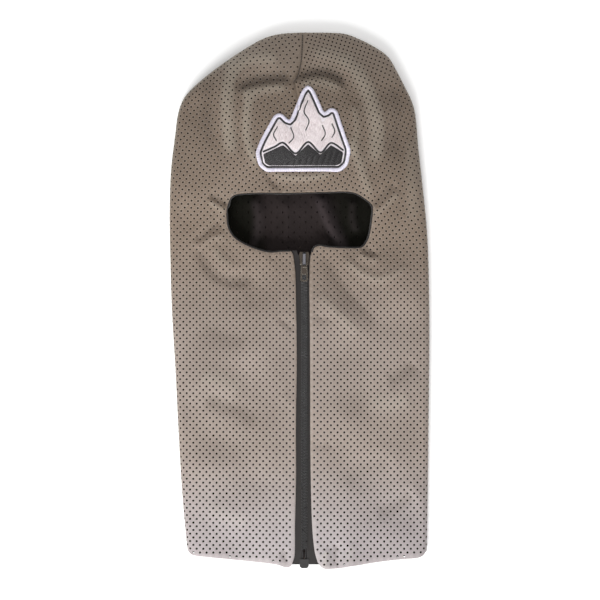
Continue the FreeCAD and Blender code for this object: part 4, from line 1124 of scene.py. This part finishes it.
def make_stitching():
    """The crown seam's and the centre back seam's thread, and the stitching below the rolled edge."""
    crown = CROWN_SEAM[CROWN_SEAM[:, 1] > 203.5]
    rows = stitch_row(crown, 1.9, 0.5, 0.27, front_surface, 0.12)
    threads("crown_seam_thread", rows, dark_thread)
    edge = beside(EYE_EDGE, -2.1)
    rows = stitch_row(edge, 2.1, 0.7, 0.17, front_surface, 0.02)
    threads("eye_edge_stitching", rows, seam_thread)
    back = through([(BACK_SEAM_X, -247), (BACK_SEAM_X, 250)], 3.0)
    rows = []
    for offset in (-2.4, 2.4):
        rows += stitch_row(beside(back, offset), 2.2, 0.8, 0.16, back_surface, -0.02)
    threads("back_seam_stitching", rows, seam_thread)


# ------------------------------------------------------------------------------------------ the zip
def make_tape(name, side, node):
    """A woven zip tape; its top end splays outwards beside the slider."""
    inner = TAPE_HIGH[0] if side < 0 else 2 * ZIP_X - TAPE_HIGH[0]
    outer = TAPE_LOW[0] if side < 0 else 2 * ZIP_X - TAPE_LOW[0]
    top, low = TAPE_HIGH[1], TAPE_LOW[1]
    end = top + 3.0
    levels = np.concatenate([np.linspace(low, top - 6, 150), np.linspace(top - 5, end, 14)])
    wide = TAPE_RIBS + 1
    across = np.linspace(0, 1, wide)
    splay = smooth(levels, top - 8, end)
    points = []
    for level, open_out in zip(levels, splay):
        x = inner + (outer - inner) * across + side * 4.6 * open_out * (1 - across)
        rib = 0.045 * np.cos(across * TAPE_RIBS * math.pi)
        z = ZIP_Z + rib + 0.9 * open_out * (1 - across)
        points.append(np.column_stack([x, np.full(wide, level), z]))
    upper = np.vstack(points) + [0, 0, 0.25]
    lower = np.vstack(points) - [0, 0, 0.25]
    if side > 0:
        fray = RANDOM.uniform(-0.7, 0.7, wide)
        for layer in (upper, lower):
            layer[-wide:, 1] += fray
    rows, count = len(levels), len(upper)
    faces = []
    for j in range(rows - 1):
        for i in range(TAPE_RIBS):
            a = j * wide + i
            quad = [a, a + 1, a + wide + 1, a + wide]
            if side < 0:
                quad = quad[::-1]
            faces.append(quad)
            faces.append([q + count for q in quad[::-1]])
    last = (rows - 1) * wide
    edge = [(i, i + 1) for i in range(TAPE_RIBS)]
    edge += [((j + 1) * wide - 1, (j + 2) * wide - 1) for j in range(rows - 1)]
    edge += [(last + i + 1, last + i) for i in range(TAPE_RIBS)]
    edge += [((j + 1) * wide, j * wide) for j in range(rows - 1)]
    for a, b in edge:
        quad = [a, b, b + count, a + count]
        faces.append(quad if side < 0 else quad[::-1])
    tape = new_object(name, np.vstack([upper, lower]), faces, [tape_cloth], sharp=50)
    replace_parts(tape, node)


def paint_zip():
    """Finishes for the zip's moulded and cast pieces, which keep their own shapes."""
    finish = {
        "zip_cord_left": cord_cloth, "zip_cord_right": cord_cloth,
        "zip_teeth_left": tooth_plastic, "zip_teeth_right": tooth_plastic,
        "top_stop_left": tooth_plastic, "top_stop_right": tooth_plastic,
        "tape_end_film_left": tape_film, "tape_end_film_right": tape_film,
        "insertion_pin": pin_plastic, "retainer_pin": pin_plastic, "retainer_box": box_plastic,
        "slider_body": slider_metal, "slider_bridge": bridge_metal, "pull_tab": slider_metal,
        "lock_spring": spring_steel}
    for name, material in finish.items():
        thing = bpy.data.objects[name]
        thing.data.materials.clear()
        thing.data.materials.append(material)


# ---------------------------------------------------------------------------------------- the patch
RIDGE = [
    (-1.0, -0.56), (-0.88, -0.26), (-0.60, 0.30), (-0.46, 0.34), (-0.28, 0.14), (-0.02, 0.86), (0.10, 1.0),
    (0.22, 0.88), (0.44, 0.32), (0.56, 0.46), (0.70, 0.42), (0.90, -0.22), (1.0, -0.50), (0.94, -0.84),
    (0.78, -1.0), (-0.78, -1.0), (-0.94, -0.86)]
SNOW = [
    (-0.84, -0.50), (-0.55, 0.14), (-0.40, 0.12), (-0.26, -0.06), (0.04, 0.78), (0.14, 0.76), (0.40, 0.12),
    (0.52, 0.26), (0.62, 0.22), (0.84, -0.46), (0.58, -0.30), (0.36, -0.52), (0.10, -0.28), (-0.16, -0.54),
    (-0.42, -0.30)]
ROCK = [
    (-0.84, -0.60), (-0.42, -0.40), (-0.16, -0.64), (0.10, -0.38), (0.36, -0.62), (0.58, -0.40),
    (0.84, -0.56), (0.80, -0.80), (0.70, -0.86), (-0.70, -0.86), (-0.80, -0.80)]
GULLIES = [
    [(-0.26, 0.0), (-0.20, -0.22), (-0.30, -0.36)], [(0.10, 0.62), (0.02, 0.36), (0.12, 0.16), (0.05, -0.06)],
    [(0.40, 0.06), (0.46, -0.14), (0.38, -0.30)], [(-0.54, 0.02), (-0.62, -0.16), (-0.56, -0.30)],
    [(0.60, 0.10), (0.66, -0.08), (0.60, -0.22)]]
SNOW_LINE = [
    (-0.84, -0.55), (-0.60, -0.44), (-0.42, -0.35), (-0.16, -0.59), (0.10, -0.33), (0.36, -0.57),
    (0.58, -0.35), (0.84, -0.51)]
PATCH_THICK = 1.1


def on_patch(points, rounding=0.0):
    """A figure in parts of the patch's half width and height, as flat millimetres."""
    half = (PATCH_HIGH - PATCH_LOW)[:2] / 2
    figure = np.array(points) * half + [PATCH_X, PATCH_Y]
    if rounding == 0:
        return figure
    before, after = np.roll(figure, 1, axis=0), np.roll(figure, -1, axis=0)
    soft = []
    for a, p, b in zip(before, figure, after):
        cut_a = min(rounding / np.linalg.norm(a - p), 0.4)
        cut_b = min(rounding / np.linalg.norm(b - p), 0.4)
        soft += [p + (a - p) * cut_a, p * 0.5 + (p + (a - p) * cut_a) * 0.25 + (p + (b - p) * cut_b) * 0.25,
                 p + (b - p) * cut_b]
    return np.array(soft)


def patch_skin(flat, lift):
    """Points and normals a little above the hood's skin: the patch lies smoothly over it."""
    skin, normal = front_surface(flat), normals_of(front_surface, flat, 3.0)
    return skin + normal * lift, normal


def even(line, step, closed=True):
    """A polyline cut into nearly equal steps."""
    run = looped(line) if closed else line
    along = np.concatenate([[0.0], np.cumsum(np.linalg.norm(np.diff(run, axis=0), axis=1))])
    count = max(2, round(along[-1] / step))
    at = np.linspace(0, along[-1], count + 1)
    if closed:
        at = at[:-1]
    return np.column_stack([np.interp(at, along, run[:, 0]), np.interp(at, along, run[:, 1])])


def shrink(polygon, amount):
    """A clockwise figure moved inwards along its own normals."""
    run = unit(np.roll(polygon, -1, axis=0) - np.roll(polygon, 1, axis=0))
    return polygon + np.column_stack([run[:, 1], -run[:, 0]]) * amount


def thread_strip(a, b, radius, lift, hump=0.16, bend=0.0, steps=3):
    """The flat centre line and height of one stitch from a to b."""
    t = np.linspace(0, 1, steps + 1)
    tuck = min(0.3, 0.35 / max(math.dist(a, b), 0.1))
    t = np.concatenate([[0.0], tuck + (1 - 2 * tuck) * t, [1.0]])
    flat = np.asarray(a) + (np.asarray(b) - np.asarray(a)) * t[:, None]
    rise = lift + hump * np.sin(np.pi * t) ** 0.6 - radius * 1.4 * ((t == 0) | (t == 1))
    return flat, rise


def lay_stitches(name, stitches, radius, material):
    """Many stitches laid at once on the patch's skin."""
    flat = np.vstack([s[0] for s in stitches])
    rise = np.concatenate([s[1] for s in stitches])
    skin, normal = patch_skin(flat, rise[:, None])
    pieces, at = [], 0
    for line, _ in stitches:
        part = slice(at, at + len(line))
        at += len(line)
        tube = sweep(skin[part], normal[part], radius, radius * 0.8, 5)
        pieces.append((*tube, float(RANDOM.uniform(0.1, 1.0))))
    return threads(name, pieces, material)


def hatch(polygon, heading, spacing, length, lift):
    """Rows of stitches that fill a figure, with their ends scattered from row to row."""
    ca, sa = math.cos(heading), math.sin(heading)
    turned = polygon @ np.array([[ca, -sa], [sa, ca]])
    stitches = []
    closed = looped(turned)
    for row, level in enumerate(np.arange(turned[:, 1].min() + spacing, turned[:, 1].max(), spacing)):
        cuts = []
        for (xa, ya), (xb, yb) in zip(closed, closed[1:]):
            if (ya > level) != (yb > level):
                cuts.append(xa + (level - ya) * (xb - xa) / (yb - ya))
        cuts.sort()
        for start, stop in zip(cuts[::2], cuts[1::2]):
            at = start
            step = length * (0.25 + 0.75 * ((row * 0.37) % 1))
            while at < stop - 0.4:
                end = min(at + step + RANDOM.uniform(-0.4, 0.4), stop)
                if stop - end < 1.0:
                    end = stop
                a = np.array([at, level + RANDOM.uniform(-0.05, 0.05)])
                b = np.array([end, level + RANDOM.uniform(-0.05, 0.05)])
                back = np.array([[ca, sa], [-sa, ca]])
                steps = max(1, round((end - at) / 3.0))
                stitches.append(thread_strip(a @ back, b @ back, 0.2, lift, 0.1, steps=steps))
                at = end
                step = length
    return stitches


def satin(line, half, spacing, lift, closed=True, hump=0.28):
    """Stitches laid side by side across a line, as in a satin outline."""
    path = even(line, spacing, closed)
    if closed:
        run = np.roll(path, -2, axis=0) - np.roll(path, 2, axis=0)
    else:
        run = np.gradient(path, axis=0)
    run = unit(run)
    out = np.column_stack([run[:, 1], -run[:, 0]])
    stitches = []
    for k, (p, o, r) in enumerate(zip(path, out, run)):
        lean = r * spacing * 0.5
        wide = half * (1 + RANDOM.uniform(-0.06, 0.06))
        stitches.append(thread_strip(p - o * wide - lean, p + o * wide + lean, 0.2, lift, hump))
    return stitches


def make_patch():
    """A die-cut mountain ridge: twill base, white fill, black outlines and rock, and a bound edge."""
    ridge = on_patch(RIDGE, 3.0)
    border = even(shrink(ridge, 1.6), 1.0)
    inner = even(shrink(ridge, 1.4), 1.6)
    flat, faces, ring = triangulate(inner, [], grid_spots(inner, 2.5, 1.4))

    def raised(points):
        return patch_skin(points, PATCH_THICK)[0]

    base = thick_panel(
        "patch_twill_base", flat, faces, ring, raised, 1, 0.0, PATCH_THICK - 0.1, [twill_cloth])
    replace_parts(base, "patch_base")
    lay_sheet(flat, faces)
    fill = hatch(even(on_patch(SNOW, 1.0), 1.0), math.radians(68), 0.42, 7.0, PATCH_THICK)
    snow = lay_stitches("patch_snow_fill", fill, 0.235, white_thread)
    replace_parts(snow, "patch_snow_stitching")
    rock_fill = hatch(even(on_patch(ROCK, 1.0), 1.0), math.radians(12), 0.42, 6.0, PATCH_THICK + 0.12)
    under = even(shrink(on_patch(ROCK, 1.0), 0.3), 1.4)
    flat, faces, ring = triangulate(under, [], grid_spots(under, 2.5, 1.2))
    thick_panel(
        "patch_rock_underlay", flat, faces, ring, raised, 1, -0.14, 0.13, [black_thread])
    outline = satin(even(shrink(ridge, 4.3), 1.0), 0.95, 0.36, PATCH_THICK + 0.1)
    lines = []
    for run in GULLIES:
        lines += satin(through(on_patch(run), 1.0), 0.5, 0.36, PATCH_THICK + 0.3, closed=False)
    jag = through(on_patch(SNOW_LINE), 1.0)
    lines += satin(jag, 0.8, 0.36, PATCH_THICK + 0.2, closed=False)
    rock = lay_stitches("patch_rock_fill", rock_fill, 0.235, black_thread)
    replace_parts(rock, "patch_rock_stitching")
    lay_stitches("patch_black_outline", outline + lines, 0.22, black_thread)
    bound = satin(border, 1.75, 0.5, PATCH_THICK - 0.25, hump=0.75)
    edging = lay_stitches("patch_bound_border", bound, 0.31, lilac_thread)
    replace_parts(edging, "patch_border")


# ----------------------------------------------------------------------------- light, floor, camera
def make_studio():
    """A pale floor, two soft lamps, a sky that is bright near the horizon, and the camera."""
    scene = bpy.context.scene
    half = 3.0
    mesh = bpy.data.meshes.new("floor")
    z = FLOOR_Z * MM - 0.0002
    corners = [(-half, -half, z), (half, -half, z), (half, half, z), (-half, half, z)]
    mesh.from_pydata(corners, [], [(0, 1, 2, 3)])
    floor = bpy.data.objects.new("floor", mesh)
    scene.collection.objects.link(floor)
    pale = Nodes("pale_floor", (0.90, 0.90, 0.90), 0.9, Specular_IOR_Level=0.1)
    pale.shader.inputs["Emission Color"].default_value = (1, 1, 1, 1)
    split = pale.put("ShaderNodeSeparateXYZ", pale.place()).outputs

    def off(value, reach):
        """One axis of a rounded rectangle: 1 at reach from its middle."""
        return pale.sum("POWER", pale.sum("ABSOLUTE", pale.sum("DIVIDE", value, reach)), 4.0)

    # The floor gives off light outside the hood, so that it comes out white as in the photo.
    outside = pale.sum("POWER", pale.sum("ADD", off(split[0], 0.118), off(split[1], 0.250)), 0.25)
    pale.tree.links.new(pale.ramp(outside, 0.88, 1.12, 0.0, 0.36), pale.shader.inputs["Emission Strength"])
    # Below the eye opening the floor is painted dark, a painted shadow under the hood, or it would show
    # through pinholes that lie over each other.
    up = off(pale.sum("SUBTRACT", split[1], 0.074), 0.04)
    shaded = pale.ramp(pale.sum("ADD", up, off(split[0], 0.085)), 0.9, 1.3)
    pale.colour(pale.mix(shaded, (0.04, 0.04, 0.04, 1), (0.90, 0.90, 0.90, 1)))
    mesh.materials.append(pale.material)
    world = bpy.data.worlds.new("studio")
    scene.world = world
    world.use_nodes = True
    tree = world.node_tree
    sky = tree.nodes["Background"]
    sky.inputs[0].default_value = (1.0, 1.0, 1.0, 1)
    towards = tree.nodes.new("ShaderNodeTexCoord")
    split = tree.nodes.new("ShaderNodeSeparateXYZ")
    level = tree.nodes.new("ShaderNodeMapRange")
    tree.links.new(towards.outputs["Generated"], split.inputs[0])
    tree.links.new(split.outputs[2], level.inputs["Value"])
    for socket, value in (("From Min", 0.12), ("From Max", 0.45), ("To Min", 0.95), ("To Max", 0.26)):
        level.inputs[socket].default_value = value
    tree.links.new(level.outputs[0], sky.inputs[1])
    for name, place, size, power in (
            ("window", (-0.38, -0.92, 0.85), 0.7, 19.0), ("fill", (0.1, 0.25, 1.75), 1.2, 9.0)):
        lamp = bpy.data.lights.new(name, "AREA")
        lamp.shape = "SQUARE"
        lamp.size = size
        lamp.energy = power
        thing = bpy.data.objects.new(name, lamp)
        thing.location = place
        thing.rotation_euler = (-Vector(place)).to_track_quat("-Z", "Y").to_euler()
        scene.collection.objects.link(thing)
    camera = bpy.data.cameras.new("camera")
    camera.lens = 120.0
    camera.sensor_width = 36.0
    view = bpy.data.objects.new("camera", camera)
    view.location = (0.0, 0.0, 1.925)
    camera.clip_start = 0.01
    scene.collection.objects.link(view)
    scene.camera = view
    scene.view_settings.view_transform = "Standard"


make_studio()
shell = make_shell_front()
make_shell_back("shell_back_left", -1)
make_shell_back("shell_back_right", 1)
lining = make_lining_front()
make_lining_back()
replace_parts(shell, "outer_shell_left", "outer_shell_right")
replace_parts(lining, "lining_left", "lining_right")
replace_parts(make_eye_edge(), "eye_edge_roll")
make_stitching()
make_tape("zip_tape_left_woven", -1, "zip_tape_left")
make_tape("zip_tape_right_woven", 1, "zip_tape_right")
paint_zip()
make_patch()
